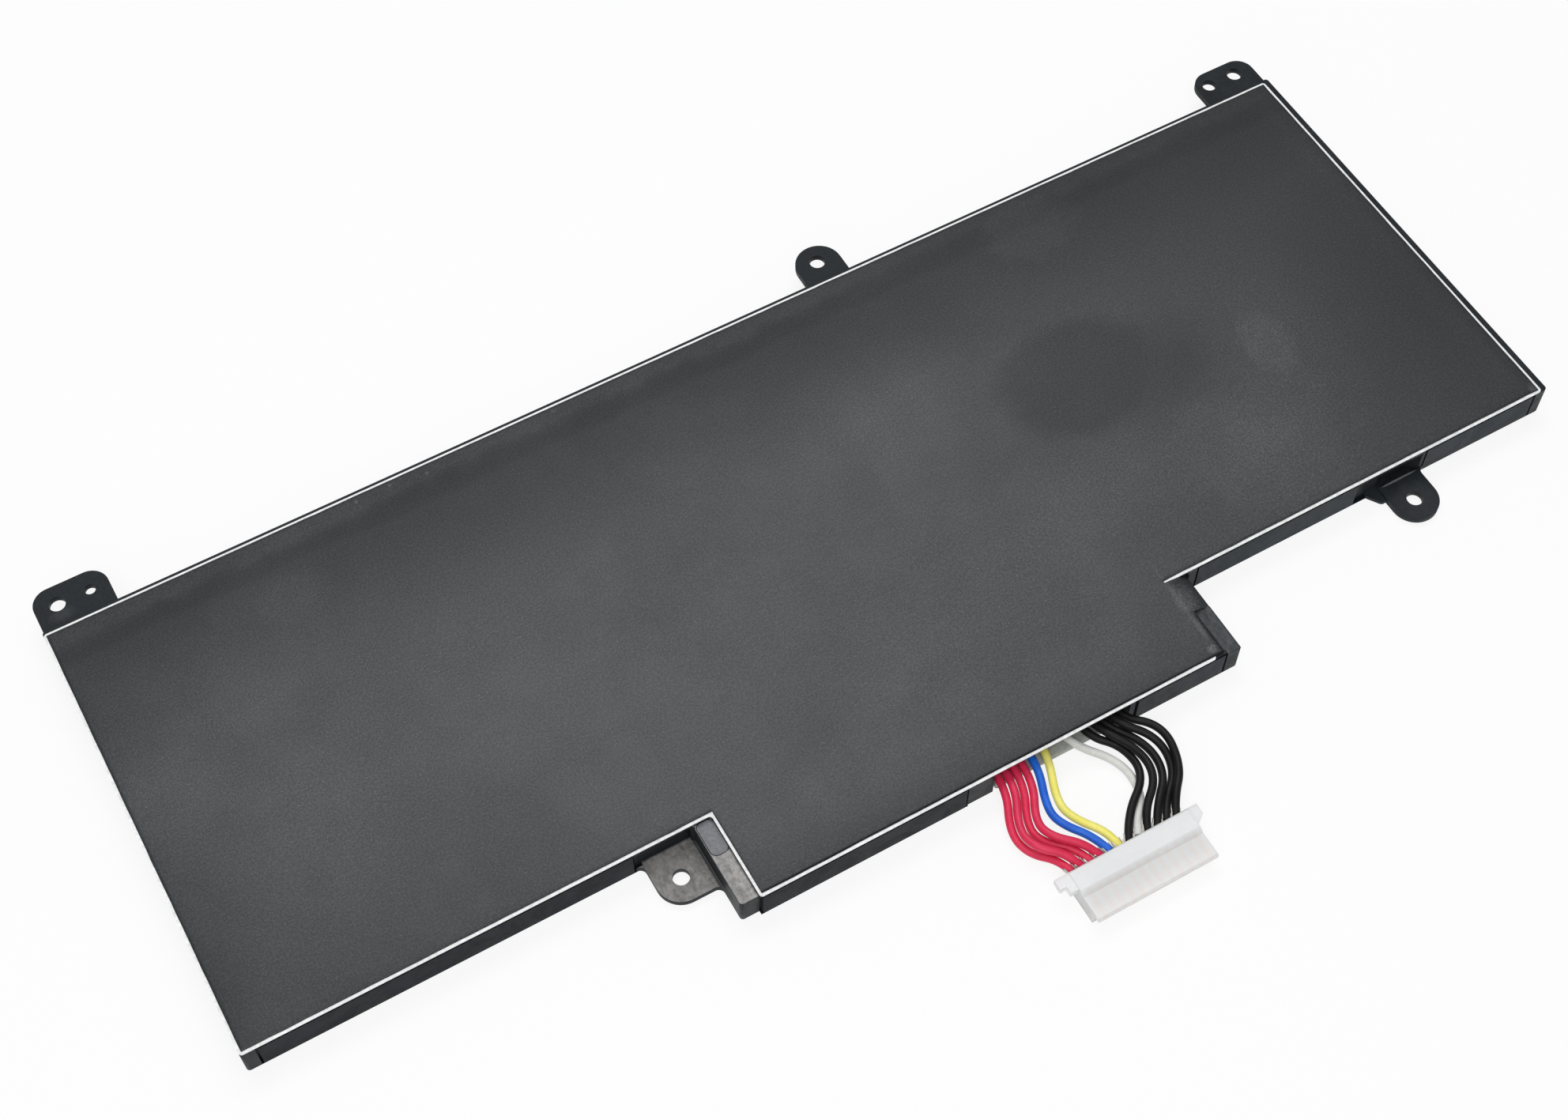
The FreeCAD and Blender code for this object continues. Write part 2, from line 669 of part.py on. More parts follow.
def lead_routes():
    """Each lead's points from its solder joint on the board, through its bends, to its contact."""
    start_z = board_top + LEAD_DIAMETER / 2 + LEAD_LIFT
    routes = {}
    for seat, (name, bends) in enumerate(LEAD_BENDS.items()):
        row_y = solder_y
        if seat < SECOND_ROW_COUNT:
            row_y = solder_y - SOLDER_ROW_STEP
        points = [V(left + bends[0][0], row_y, start_z)]
        points = points + [V(left + x, front + y, z) for x, y, z in bends]
        routes[name] = points + [V(contact_x(seat), plug_entry, CONTACT_AXIS)]
    return routes


def lead_section(start, way):
    """Eight-sided section of the round lead's own area, flat side down, square to the first run."""
    radius = math.sqrt(math.pi / math.sqrt(8)) * LEAD_DIAMETER / 2
    across = way.cross(V(0, 0, 1))
    across.normalize()
    upward = across.cross(way)
    upward.normalize()
    corners = []
    for i in range(9):
        angle = math.pi * (2 * i + 1) / 8
        corners.append(start + across * (radius * math.cos(angle)) + upward * (radius * math.sin(angle)))
    return Part.Face(Part.makePolygon(corners))


def lead(name, points):
    """Lead along straight runs joined by tangent arcs."""
    section = lead_section(points[0], points[1] - points[0])
    pieces = []
    radii = []
    length = 0
    start = points[0]
    for before, here, after in zip(points, points[1:], points[2:]):
        back_way = before - here
        on_way = after - here
        cut = 0.45 * min(back_way.Length, on_way.Length)
        back_way.normalize()
        on_way.normalize()
        turn = math.pi - back_way.getAngle(on_way)
        bend = cut / math.tan(turn / 2)
        inward = back_way + on_way
        inward.normalize()
        centre = here + inward * (bend / math.cos(turn / 2))
        run = here + back_way * cut - start
        pieces.append(section.extrude(run))
        section = section.translated(run)
        axis = on_way.cross(back_way)
        pieces.append(section.revolve(centre, axis, math.degrees(turn)))
        section = section.rotated(centre, axis, math.degrees(turn))
        length = length + run.Length + bend * turn
        radii.append(bend)
        start = here + on_way * cut
    run = points[-1] - start
    pieces.append(section.extrude(run))
    length = length + run.Length
    tube = pieces[0].fuse(pieces[1:]).removeSplitter()
    ratio = tube.Volume / (section.Area * length)
    print(name, "length %.1f" % length, "tightest bend %.2f" % min(radii), "volume ratio %.3f" % ratio)
    return tube


def solder_joints(routes):
    """Sloping mound of solder behind the end of each lead."""
    joints = []
    for points in routes.values():
        x = points[0].x
        y = points[0].y + SOLDER_GAP
        foot = SOLDER_WIDTH / 2
        crown = foot - SOLDER_SLOPE
        top = board_top + SOLDER_HEIGHT
        outline = [(-foot, board_top), (-crown, top), (crown, top), (foot, board_top), (-foot, board_top)]
        mound = Part.Face(Part.makePolygon([V(x + across, y, z) for across, z in outline]))
        joints.append(mound.extrude(V(0, SOLDER_LENGTH, 0)))
    return Part.makeCompound(joints)


def plug_housing():
    """Nylon plug: raised back, lower nose under a lip, side flanges and a cavity for each contact."""
    x0 = contact_x(0) - PLUG_END_WALL
    x1 = contact_x(PLUG_COUNT - 1) + PLUG_END_WALL
    under_lip = PLUG_NOSE_HEIGHT - PLUG_LIP_HEIGHT
    side_view = [
        (plug_rear, 0),
        (plug_face, 0),
        (plug_face, under_lip),
        (plug_front, under_lip),
        (plug_front, PLUG_NOSE_HEIGHT - PLUG_EDGE),
        (plug_front + PLUG_EDGE, PLUG_NOSE_HEIGHT),
        (plug_step, PLUG_NOSE_HEIGHT),
        (plug_step + PLUG_RAMP, PLUG_HEIGHT),
        (plug_rear - PLUG_EDGE, PLUG_HEIGHT),
        (plug_rear, PLUG_HEIGHT - PLUG_EDGE),
        (plug_rear, 0),
    ]
    profile = Part.makePolygon([V(x0, y, z) for y, z in side_view])
    body = Part.Face(profile).extrude(V(x1 - x0, 0, 0))
    outer = x0 - FLANGE_LEFT
    step = outer + FLANGE_STEP
    body = body.fuse(box(outer, x0, plug_rear - FLANGE_LENGTH, plug_rear, FLANGE_LOW, FLANGE_HIGH))
    body = body.fuse(box(step, x0, plug_rear - FLANGE_LONG, plug_rear, FLANGE_LOW, FLANGE_HIGH))
    taper = [(x1, plug_rear - FLANGE_LONG, 0), (x1 + FLANGE_RIGHT, plug_rear - FLANGE_LENGTH, 0)]
    taper = taper + [(x1 + FLANGE_RIGHT, plug_rear, 0), (x1, plug_rear, 0)]
    body = body.fuse(plate(taper, FLANGE_LOW, FLANGE_HIGH))
    floor = CONTACT_AXIS - CAVITY_HEIGHT / 2
    half = CAVITY_WIDTH / 2
    window = PIN_WINDOW / 2
    inner = plug_face + PLUG_FRONT_WALL
    for i in range(PLUG_COUNT):
        x = contact_x(i)
        body = body.cut(box(x - half, x + half, inner, plug_rear, floor, floor + CAVITY_HEIGHT))
        low = CONTACT_AXIS - window
        body = body.cut(box(x - window, x + window, plug_face, inner, low, low + PIN_WINDOW))
    return body.removeSplitter()


def crimp_contacts():
    """Folded box contact on the floor of each cavity, its crimp barrel, and a tail under the lead."""
    floor = CONTACT_AXIS - CAVITY_HEIGHT / 2
    nose = plug_face + PLUG_FRONT_WALL + CONTACT_GAP
    heel = nose + CONTACT_LENGTH
    half = CAVITY_WIDTH / 2 - CONTACT_GAP
    window = PIN_WINDOW / 2
    crimp = CRIMP_WIDTH / 2
    barrel_end = plug_entry - CRIMP_END_GAP
    shapes = []
    for i in range(PLUG_COUNT):
        x = contact_x(i)
        shell = box(x - half, x + half, nose, heel, floor, floor + CONTACT_HEIGHT)
        low = CONTACT_AXIS - window
        shell = shell.cut(box(x - window, x + window, nose, heel - window, low, low + PIN_WINDOW))
        barrel = box(x - crimp, x + crimp, heel, barrel_end, floor, CONTACT_AXIS + crimp)
        tail = box(x - half, x + half, heel, barrel_end + CRIMP_TAIL, floor, floor + CRIMP_SHEET)
        shapes.append(shell.fuse(barrel).fuse(tail).removeSplitter())
    return Part.makeCompound(shapes)


def all_parts():
    routes = lead_routes()
    shapes = {
        "frame": frame(),
        "cover_film": cover_film(),
        "backing_film": backing_film(),
        "base_film": base_film(),
        "circuit_board": circuit_board(),
        "solder_joints": solder_joints(routes),
        "plug_housing": plug_housing(),
        "crimp_contacts": crimp_contacts(),
    }
    shapes.update(cells())
    shapes.update(tabs())
    shapes.update(board_parts())
    for name, points in routes.items():
        shapes[name] = lead(name, points)
    return shapes


os.makedirs("parts", exist_ok=True)
for node, shape in all_parts().items():
    shape.exportStep("parts/" + node + ".step")
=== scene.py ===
import bmesh
import bpy
import json
import math
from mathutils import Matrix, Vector, noise


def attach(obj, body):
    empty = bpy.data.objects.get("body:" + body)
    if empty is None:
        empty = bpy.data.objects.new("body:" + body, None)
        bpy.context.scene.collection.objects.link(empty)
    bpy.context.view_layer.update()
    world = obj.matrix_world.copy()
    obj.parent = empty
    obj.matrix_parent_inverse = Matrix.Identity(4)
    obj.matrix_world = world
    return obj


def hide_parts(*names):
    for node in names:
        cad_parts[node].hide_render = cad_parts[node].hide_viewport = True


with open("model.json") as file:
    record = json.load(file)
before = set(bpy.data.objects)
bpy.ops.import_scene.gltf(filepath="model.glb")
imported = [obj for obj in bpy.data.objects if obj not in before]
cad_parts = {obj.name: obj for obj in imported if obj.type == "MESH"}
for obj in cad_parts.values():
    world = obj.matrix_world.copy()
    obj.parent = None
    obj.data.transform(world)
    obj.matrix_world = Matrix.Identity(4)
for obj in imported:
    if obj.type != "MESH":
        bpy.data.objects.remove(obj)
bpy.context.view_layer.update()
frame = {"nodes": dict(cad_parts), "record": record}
nodes = frame["nodes"]

MM = 0.001

# Places and sizes of the pack, the same as the part's own; lengths are in millimetres
LEFT = -82.4
FRONT = -25.425
LEAD_DIAMETER = 0.93
LEAD_START_HEIGHT = 1.775
SOLDER_OFFSET = 7.4
SOLDER_ROW_STEP = 1.4
SECOND_ROW_COUNT = 5
PLUG_FIRST = 83.9
PLUG_PITCH = 1.2
PLUG_REACH = 23.1
CONTACT_AXIS = 1.25

# Edges of the charcoal film, of its tab over the middle block and of its tongue, in millimetres
FILM_LEFT = -82.1
FILM_RIGHT = 81.3
FILM_FRONT = -25.125
FILM_BACK = 29.925
FILM_TOP = 4.6
TAB_LEFT = -28.65
TAB_RIGHT = 29.3
TAB_FRONT = -35.875
TONGUE_START = 28.5
TONGUE_FRONT = -30.025
TONGUE_SIDE = 31.55
TONGUE_FOOT = 2.0
TONGUE_RADIUS = 5.3
TONGUE_EDGE = 0.35


def metres(*lengths):
    return tuple(length * MM for length in lengths)


# Shared effects

FULL = (0.0, 1.0)
NOISE_MIDDLE = 0.5
NOISE_SPAN = (0.3, 0.7)
GRAIN_SHADES = (0.88, 1.12)
SPECK_EDGE = (0.28, 0.1)
SPECK_LUCK = 0.8
STREAK_STRETCH = (1.0, 0.25, 1.0)
STREAK_SPAN = (0.35, 0.68)
SEEN_FROM_ABOVE = (1.0, 1.0, 0.0)


def new_group(name, inputs, outputs):
    group = bpy.data.node_groups.new(name, "ShaderNodeTree")
    for label, value in inputs.items():
        kind = "NodeSocketVector" if isinstance(value, tuple) else "NodeSocketFloat"
        socket = group.interface.new_socket(label, in_out="INPUT", socket_type=kind)
        socket.default_value = value
    for label in outputs:
        group.interface.new_socket(label, in_out="OUTPUT", socket_type="NodeSocketFloat")
    entry = group.nodes.new("NodeGroupInput")
    result = group.nodes.new("NodeGroupOutput")
    return group, entry, result


def place(tree, kind, links=None, values=None, **settings):
    """Adds a node, sets its properties and values, and links the sockets that feed it."""
    node = tree.nodes.new(kind)
    for key, value in settings.items():
        setattr(node, key, value)
    for key, value in (values or {}).items():
        node.inputs[key].default_value = value
    for key, socket in (links or {}).items():
        tree.links.new(socket, node.inputs[key])
    return node


def position(tree):
    return place(tree, "ShaderNodeTexCoord").outputs["Object"]


def split(tree, socket):
    """Gives the X, Y and Z of a vector socket."""
    return place(tree, "ShaderNodeSeparateXYZ", {"Vector": socket}).outputs


def remap(tree, socket, span, target=FULL):
    """Eases a value from one span to another and holds it past the ends."""
    node = place(tree, "ShaderNodeMapRange", {"Value": socket}, interpolation_type="SMOOTHSTEP")
    for key, value in zip(("From Min", "From Max", "To Min", "To Max"), span + target):
        node.inputs[key].default_value = value
    return node.outputs["Result"]


def combine(tree, operation, a, b):
    """Works out one value from two, each a number or a socket."""
    node = place(tree, "ShaderNodeMath", operation=operation)
    for i, value in enumerate((a, b)):
        if isinstance(value, (int, float)):
            node.inputs[i].default_value = value
        else:
            tree.links.new(value, node.inputs[i])
    return node.outputs[0]


def vector(tree, operation, a, b=None):
    """Works out a vector, or a length, from a socket and a second socket or fixed vector."""
    node = place(tree, "ShaderNodeVectorMath", {0: a}, operation=operation)
    if isinstance(b, tuple):
        node.inputs[1].default_value = b
    elif b is not None:
        tree.links.new(b, node.inputs[1])
    return node.outputs["Value" if operation == "LENGTH" else "Vector"]


def fine_grain_group():
    """Fine matt grain with sparse pale specks: a shade about 1, and a height."""
    group, entry, result = new_group("fine_grain", {"Size": 4000.0, "Specks": 0.25}, ["Shade", "Height"])
    where = {"Vector": position(group), "Scale": entry.outputs["Size"]}
    grain = place(group, "ShaderNodeTexNoise", where, {"Detail": 3.0, "Roughness": 0.6})
    dots = place(group, "ShaderNodeTexVoronoi", where)
    speck = remap(group, dots.outputs["Distance"], SPECK_EDGE)
    lucky = place(group, "ShaderNodeSeparateColor", {"Color": dots.outputs["Color"]})
    chosen = combine(group, "GREATER_THAN", lucky.outputs["Red"], SPECK_LUCK)
    speck = combine(group, "MULTIPLY", speck, chosen)
    speck = combine(group, "MULTIPLY", speck, entry.outputs["Specks"])
    shade = remap(group, grain.outputs["Fac"], NOISE_SPAN, GRAIN_SHADES)
    group.links.new(combine(group, "ADD", shade, speck), result.inputs["Shade"])
    group.links.new(grain.outputs["Fac"], result.inputs["Height"])
    return group


def cloudy_group():
    """Broad soft clouds of light and dark, as handling and dust leave them, and drawn-out streaks."""
    group, entry, result = new_group("cloudy", {"Size": 60.0}, ["Cloud", "Streak"])
    where = position(group)
    size = entry.outputs["Size"]
    cloud = place(group, "ShaderNodeTexNoise", {"Vector": where, "Scale": size},
                  {"Detail": 4.0, "Roughness": 0.55, "Distortion": 0.4})
    stretched = place(group, "ShaderNodeMapping", {"Vector": where}, {"Scale": STREAK_STRETCH})
    streak = place(group, "ShaderNodeTexNoise", {"Vector": stretched.outputs["Vector"], "Scale": size},
                   {"Detail": 5.0, "Roughness": 0.7, "Distortion": 1.2})
    group.links.new(remap(group, cloud.outputs["Fac"], NOISE_SPAN), result.inputs["Cloud"])
    group.links.new(remap(group, streak.outputs["Fac"], STREAK_SPAN), result.inputs["Streak"])
    return group


def patch_group():
    """Soft-edged oval about a point: 1 inside, 0 outside, its edge broken up by noise."""
    inputs = {"Centre": (0.0, 0.0, 0.0), "Reach": (0.01, 0.01, 0.01), "Softness": 0.4, "Raggedness": 0.3}
    group, entry, result = new_group("soft_patch", inputs, ["Mask"])
    shift = vector(group, "SUBTRACT", position(group), entry.outputs["Centre"])
    ratio = vector(group, "DIVIDE", shift, entry.outputs["Reach"])
    ragged = place(group, "ShaderNodeTexNoise", {"Vector": ratio}, {"Scale": 2.5, "Detail": 3.0})
    wander = combine(group, "SUBTRACT", ragged.outputs["Fac"], NOISE_MIDDLE)
    wander = combine(group, "MULTIPLY", wander, entry.outputs["Raggedness"])
    away = combine(group, "ADD", vector(group, "LENGTH", ratio), wander)
    inner = combine(group, "SUBTRACT", 1.0, entry.outputs["Softness"])
    edge = place(group, "ShaderNodeMapRange", {"Value": away, "From Max": inner},
                 {"From Min": 1.0, "To Min": 0.0, "To Max": 1.0}, interpolation_type="SMOOTHSTEP")
    group.links.new(edge.outputs["Result"], result.inputs["Mask"])
    return group


def rounded_area_group():
    """Distance out from the edge of a round-cornered area, seen from above; inside it is below 0."""
    inputs = {"Middle": (0.0, 0.0, 0.0), "Core": (0.001, 0.001, 0.0), "Corner": 0.0005}
    group, entry, result = new_group("rounded_area", inputs, ["Away"])
    shift = vector(group, "SUBTRACT", position(group), entry.outputs["Middle"])
    flat = vector(group, "ABSOLUTE", vector(group, "MULTIPLY", shift, SEEN_FROM_ABOVE))
    past = vector(group, "SUBTRACT", flat, entry.outputs["Core"])
    past = vector(group, "MAXIMUM", past, (0.0, 0.0, 0.0))
    away = combine(group, "SUBTRACT", vector(group, "LENGTH", past), entry.outputs["Corner"])
    group.links.new(away, result.inputs["Away"])
    return group


fine_grain = fine_grain_group()
cloudy = cloudy_group()
soft_patch = patch_group()
rounded_area = rounded_area_group()


# Finishes

def new_finish(name, roughness, specular=0.5):
    material = bpy.data.materials.new(name)
    material.use_nodes = True
    shader = material.node_tree.nodes["Principled BSDF"]
    shader.inputs["Roughness"].default_value = roughness
    shader.inputs["Specular IOR Level"].default_value = specular
    return material, material.node_tree, shader


def grouped(tree, group, **values):
    return place(tree, "ShaderNodeGroup", values=values, node_tree=group)


def blend_colour(tree, factor, low, high):
    """Mixes two colours, each a colour or a socket, by a factor socket."""
    mix = place(tree, "ShaderNodeMix", {"Factor": factor}, data_type="RGBA")
    for key, value in (("A", low), ("B", high)):
        socket = [s for s in mix.inputs if s.name == key and s.type == "RGBA"][0]
        if isinstance(value, tuple):
            socket.default_value = value + (1.0,)
        else:
            tree.links.new(value, socket)
    return [s for s in mix.outputs if s.type == "RGBA"][0]


def shade_colour(tree, colour, shade):
    """Multiplies a colour socket by a value socket."""
    scaled = place(tree, "ShaderNodeVectorMath", {0: colour, "Scale": shade}, operation="SCALE")
    return scaled.outputs[0]


def roughen(tree, shader, height, depth):
    """Bumps a finish by a height socket, to a depth in millimetres."""
    bump = place(tree, "ShaderNodeBump", {"Height": height}, {"Strength": 0.5, "Distance": depth * MM})
    tree.links.new(bump.outputs["Normal"], shader.inputs["Normal"])


def patch(tree, middle, reach, softness, raggedness):
    """Mask of a soft oval patch; its middle and how far it reaches each way are in millimetres."""
    oval = grouped(tree, soft_patch, Centre=metres(*middle), Reach=metres(*reach), Softness=softness,
                   Raggedness=raggedness)
    return oval.outputs["Mask"]


CHARCOAL_DARK = (0.0184, 0.0202, 0.0234)
CHARCOAL_LIGHT = (0.0238, 0.0256, 0.029)
CHARCOAL_BLUE = (0.0165, 0.0205, 0.0258)
CHARCOAL_DULL_AND_SHADE = (0.0082, 0.0087, 0.0106)
CHARCOAL_RUBBED_AND_LIT = (0.075, 0.079, 0.082)
CHARCOAL_RIM = (0.045, 0.047, 0.048)
EDGE_SHADE_BLACK = (0.002, 0.002, 0.0025)
FILM_SHEEN = (0.965, 0.995, 1.0, 1.0)
BLUE_SHARE = 0.5
SPECKLE_POWER = 4.2

# Bands of the film as distances in from its back edge, in millimetres, and how much each one does; the
# broad band and the dip paint shade toward the back
RIM_BAND = (3.0, 1.5)
DULL_SHADE_BAND = (21.0, 3.5)
DIP_SHADE_BAND = (5.4, 3.6)
BAND_WAVER = 0.9
RIM_CLEARS = 0.4
DULL_SHADE_SHARE = 0.8
DIP_SHADE_SHARE = 0.4

# The rim is lighter, less so toward the right end; a painted shade of the film's edge lies just in from
# the front edge of the tab
RIM_FADE = (5.0, 40.0)
RIM_LIGHTENING = (0.16, 0.06)
EDGE_SHADE_BAND = (0.3, 0.1)

# What the film's roughness takes from its clouds, marks, painted edge shade and grain
CLOUD_GLOSS = (0.375, 0.425)
BLOTCH_GLOSS = (0.012, -0.012)
GRAIN_GLOSS = (0.035, -0.035)
DULL_GLOSS = 0.12
EDGE_SHADE_GLOSS = 0.45

# Duller marks on the film in millimetres, partly pressed places and partly painted shade: middle, half
# length, half width, softness and strength
PRESSED_AND_SHADED_MARKS = [
    (36.0, 3.0, 12.5, 9.5, 0.35, 0.46), (43.0, -0.5, 14.0, 9.5, 0.75, 0.4),
    (-83.0, 24.0, 20.0, 24.0, 0.8, 0.6), (-62.0, -29.0, 38.0, 17.0, 0.95, 0.46),
    (84.0, -2.0, 27.0, 40.0, 0.95, 0.62), (-86.0, -18.0, 13.0, 25.0, 0.9, 0.74),
    (0.0, -38.0, 90.0, 8.8, 0.9, 0.62),
]
# Lighter marks on the film, partly rubbed scuffs and partly painted light with a painted highlight on
# the tongue, given in the same way
RUBBED_AND_LIT_MARKS = [
    (57.8, -3.8, 3.8, 5.6, 0.45, 0.28), (50.0, -15.5, 15.0, 13.0, 1.0, 0.4),
    (29.4, -28.3, 1.9, 2.6, 0.75, 0.66), (42.8, 24.6, 7.6, 5.2, 0.5, 0.15),
    (-56.6, 21.0, 5.5, 4.0, 0.5, 0.1), (28.2, -35.0, 0.8, 0.7, 0.75, 1.0),
    (28.6, -32.0, 0.5, 2.2, 0.75, 0.5), (80.8, -24.6, 0.7, 0.9, 0.75, 0.5),
    (-77.0, 8.0, 8.0, 12.0, 1.0, 0.2), (-18.3, -28.5, 2.6, 4.4, 0.8, 0.1),
    (13.0, 10.5, 17.0, 11.0, 1.0, 0.26), (-45.2, 29.1, 0.4, 0.3, 0.6, 0.5),
    (-40.9, 29.3, 0.3, 0.3, 0.6, 0.6), (-36.5, 28.7, 0.35, 0.3, 0.6, 0.5),
    (-20.0, 29.3, 0.5, 0.3, 0.6, 0.4), (-46.0, -3.0, 24.0, 12.0, 1.0, 0.12),
    (6.0, -19.0, 22.0, 11.0, 1.0, 0.15), (-64.0, -4.0, 15.0, 15.0, 1.0, 0.2),
    (27.0, -11.5, 27.0, 9.5, 1.0, 0.22), (60.0, -2.0, 13.0, 16.0, 1.0, 0.16),
    (-40.0, 7.0, 28.0, 5.0, 1.0, 0.12), (20.3, -28.0, 4.5, 3.5, 0.8, 0.14),
    (0.5, -27.0, 4.5, 3.5, 0.9, 0.12),
]
MARK_DEPTH = 10.0
PRESSED_AND_SHADED_RAGGEDNESS = 0.3
RUBBED_AND_LIT_RAGGEDNESS = 0.7


def back_band(tree, toward_back, band, target=FULL):
    """Eases in over a band of the film, going toward its back edge."""
    far, near = band
    return remap(tree, toward_back, metres(FILM_BACK - far, FILM_BACK - near), target)


def film_mark(tree, x, y, reach_x, reach_y, softness, strength, raggedness):
    """Mask of a soft mark on the film at its strength."""
    mask = patch(tree, (x, y, FILM_TOP), (reach_x, reach_y, MARK_DEPTH), softness, raggedness)
    return combine(tree, "MULTIPLY", mask, strength)


def charcoal_film():
    """Satin charcoal film with a fine speckle, lighter along its back rim, duller where it was pressed,
    and with painted shade toward its back and ends and painted light in patches and on its tongue.
    """
    material, tree, shader = new_finish("charcoal_film", roughness=0.4)
    shader.inputs["Specular Tint"].default_value = FILM_SHEEN
    grain = grouped(tree, fine_grain, Size=4400.0, Specks=0.4)
    cloud = grouped(tree, cloudy, Size=45.0).outputs["Cloud"]
    blotch = grouped(tree, cloudy, Size=190.0).outputs["Cloud"]
    where = split(tree, position(tree))
    waver = combine(tree, "SUBTRACT", blotch, NOISE_MIDDLE)
    waver = combine(tree, "MULTIPLY", waver, BAND_WAVER * MM)
    toward_back = combine(tree, "ADD", where["Y"], waver)
    rim = back_band(tree, toward_back, RIM_BAND)
    # Painted shade: the film is made darker over a broad band toward its back and in the dip just in
    # from its back edge.
    dull_and_shade = back_band(tree, toward_back, DULL_SHADE_BAND)
    dull_and_shade = combine(tree, "SUBTRACT", dull_and_shade, combine(tree, "MULTIPLY", rim, RIM_CLEARS))
    dull_and_shade = combine(tree, "MULTIPLY", dull_and_shade, DULL_SHADE_SHARE)
    dull_and_shade = combine(tree, "ADD", dull_and_shade, back_band(tree, toward_back, DIP_SHADE_BAND, (0.0, DIP_SHADE_SHARE)))
    # The listed duller marks include painted shade at the film's ends and front as well as pressed
    # places.
    for mark in PRESSED_AND_SHADED_MARKS:
        dull_and_shade = combine(tree, "MAXIMUM", dull_and_shade, film_mark(tree, *mark, PRESSED_AND_SHADED_RAGGEDNESS))
    colour = blend_colour(tree, cloud, CHARCOAL_DARK, CHARCOAL_LIGHT)
    colour = blend_colour(tree, combine(tree, "MULTIPLY", blotch, BLUE_SHARE), colour, CHARCOAL_BLUE)
    colour = blend_colour(tree, dull_and_shade, colour, CHARCOAL_DULL_AND_SHADE)
    # The listed lighter marks include painted light and a painted highlight on the tongue as well as
    # rubbed scuffs.
    for mark in RUBBED_AND_LIT_MARKS:
        colour = blend_colour(tree, film_mark(tree, *mark, RUBBED_AND_LIT_RAGGEDNESS), colour, CHARCOAL_RUBBED_AND_LIT)
    rim_lightening = combine(tree, "MULTIPLY", rim, remap(tree, where["X"], metres(*RIM_FADE), RIM_LIGHTENING))
    colour = blend_colour(tree, rim_lightening, colour, CHARCOAL_RIM)
    # Painted shade: a thin dark line just in from the tab's front edge, where the film's own edge would
    # cast shade.
    edge_shade = remap(tree, where["Y"], metres(*(TAB_FRONT + inward for inward in EDGE_SHADE_BAND)))
    colour = blend_colour(tree, edge_shade, colour, EDGE_SHADE_BLACK)
    colour = shade_colour(tree, colour, combine(tree, "POWER", grain.outputs["Shade"], SPECKLE_POWER))
    tree.links.new(colour, shader.inputs["Base Color"])
    gloss = remap(tree, cloud, FULL, CLOUD_GLOSS)
    changes = [
        remap(tree, blotch, FULL, BLOTCH_GLOSS),
        combine(tree, "MULTIPLY", dull_and_shade, DULL_GLOSS),
        combine(tree, "MULTIPLY", edge_shade, EDGE_SHADE_GLOSS),
        remap(tree, grain.outputs["Height"], NOISE_SPAN, GRAIN_GLOSS),
    ]
    for change in changes:
        gloss = combine(tree, "ADD", gloss, change)
    tree.links.new(gloss, shader.inputs["Roughness"])
    roughen(tree, shader, grain.outputs["Height"], depth=0.04)
    return material


# The painted sheen sets in along x, in millimetres, on faces that are turned to the front
FRONT_SHEEN_SPAN = (0.0, 40.0)
FACING_FRONT = (-0.5, -0.9)
FILM_ROUGHNESS_SWING = 0.05


def plain_film(name, dark, light, roughness, specular=0.5, front_sheen=None):
    """Even film, coating or moulding. A sheen colour, when given, paints light that makes its front
    paler toward the right end.
    """
    material, tree, shader = new_finish(name, roughness, specular)
    grain = grouped(tree, fine_grain, Size=2600.0, Specks=0.1)
    cloud = grouped(tree, cloudy, Size=220.0)
    colour = blend_colour(tree, cloud.outputs["Cloud"], dark, light)
    if front_sheen:
        # Painted sheen: faces turned to the front grow paler toward the right end.
        across = remap(tree, split(tree, position(tree))["X"], metres(*FRONT_SHEEN_SPAN))
        facing = split(tree, place(tree, "ShaderNodeNewGeometry").outputs["Normal"])["Y"]
        sheen_mask = combine(tree, "MULTIPLY", across, remap(tree, facing, FACING_FRONT))
        colour = blend_colour(tree, sheen_mask, colour, front_sheen)
    tree.links.new(shade_colour(tree, colour, grain.outputs["Shade"]), shader.inputs["Base Color"])
    swing = (roughness - FILM_ROUGHNESS_SWING, roughness + FILM_ROUGHNESS_SWING)
    tree.links.new(remap(tree, cloud.outputs["Streak"], FULL, swing), shader.inputs["Roughness"])
    roughen(tree, shader, grain.outputs["Height"], depth=0.03)
    return material


PLASTIC_DARK = (0.0145, 0.0178, 0.0215)
PLASTIC_LIGHT = (0.0235, 0.0278, 0.0325)
WORN_DARK = (0.115, 0.113, 0.112)
WORN_LIGHT = (0.215, 0.21, 0.204)
SCRAPED = (0.31, 0.302, 0.29)
DUST_AND_LIGHT = (0.3, 0.295, 0.29)
PAD_DARK = (0.2, 0.203, 0.22)
PAD_LIGHT = (0.226, 0.23, 0.247)
PAD_LINE = (0.02, 0.021, 0.024)
PLASTIC_GLOSS = (0.42, 0.58)
FACING_UP = (0.6, 0.95)
SCRAPE_SHARE = 0.5

# Rubbed areas of the frame in millimetres: left, right, front and back, and the tint of each
RUBBED_AREAS = [
    (-39.2, -31.3, -34.5, -25.0, (1.12, 1.12, 1.12)), (-31.2, -28.9, -36.2, -25.3, (1.6, 1.6, 1.6)),
    (29.0, 31.7, -36.2, -29.8, (0.335, 0.37, 0.41)),
]
RUBBED_CORNER = 0.3
RUBBED_EDGE = (0.1, -0.3)

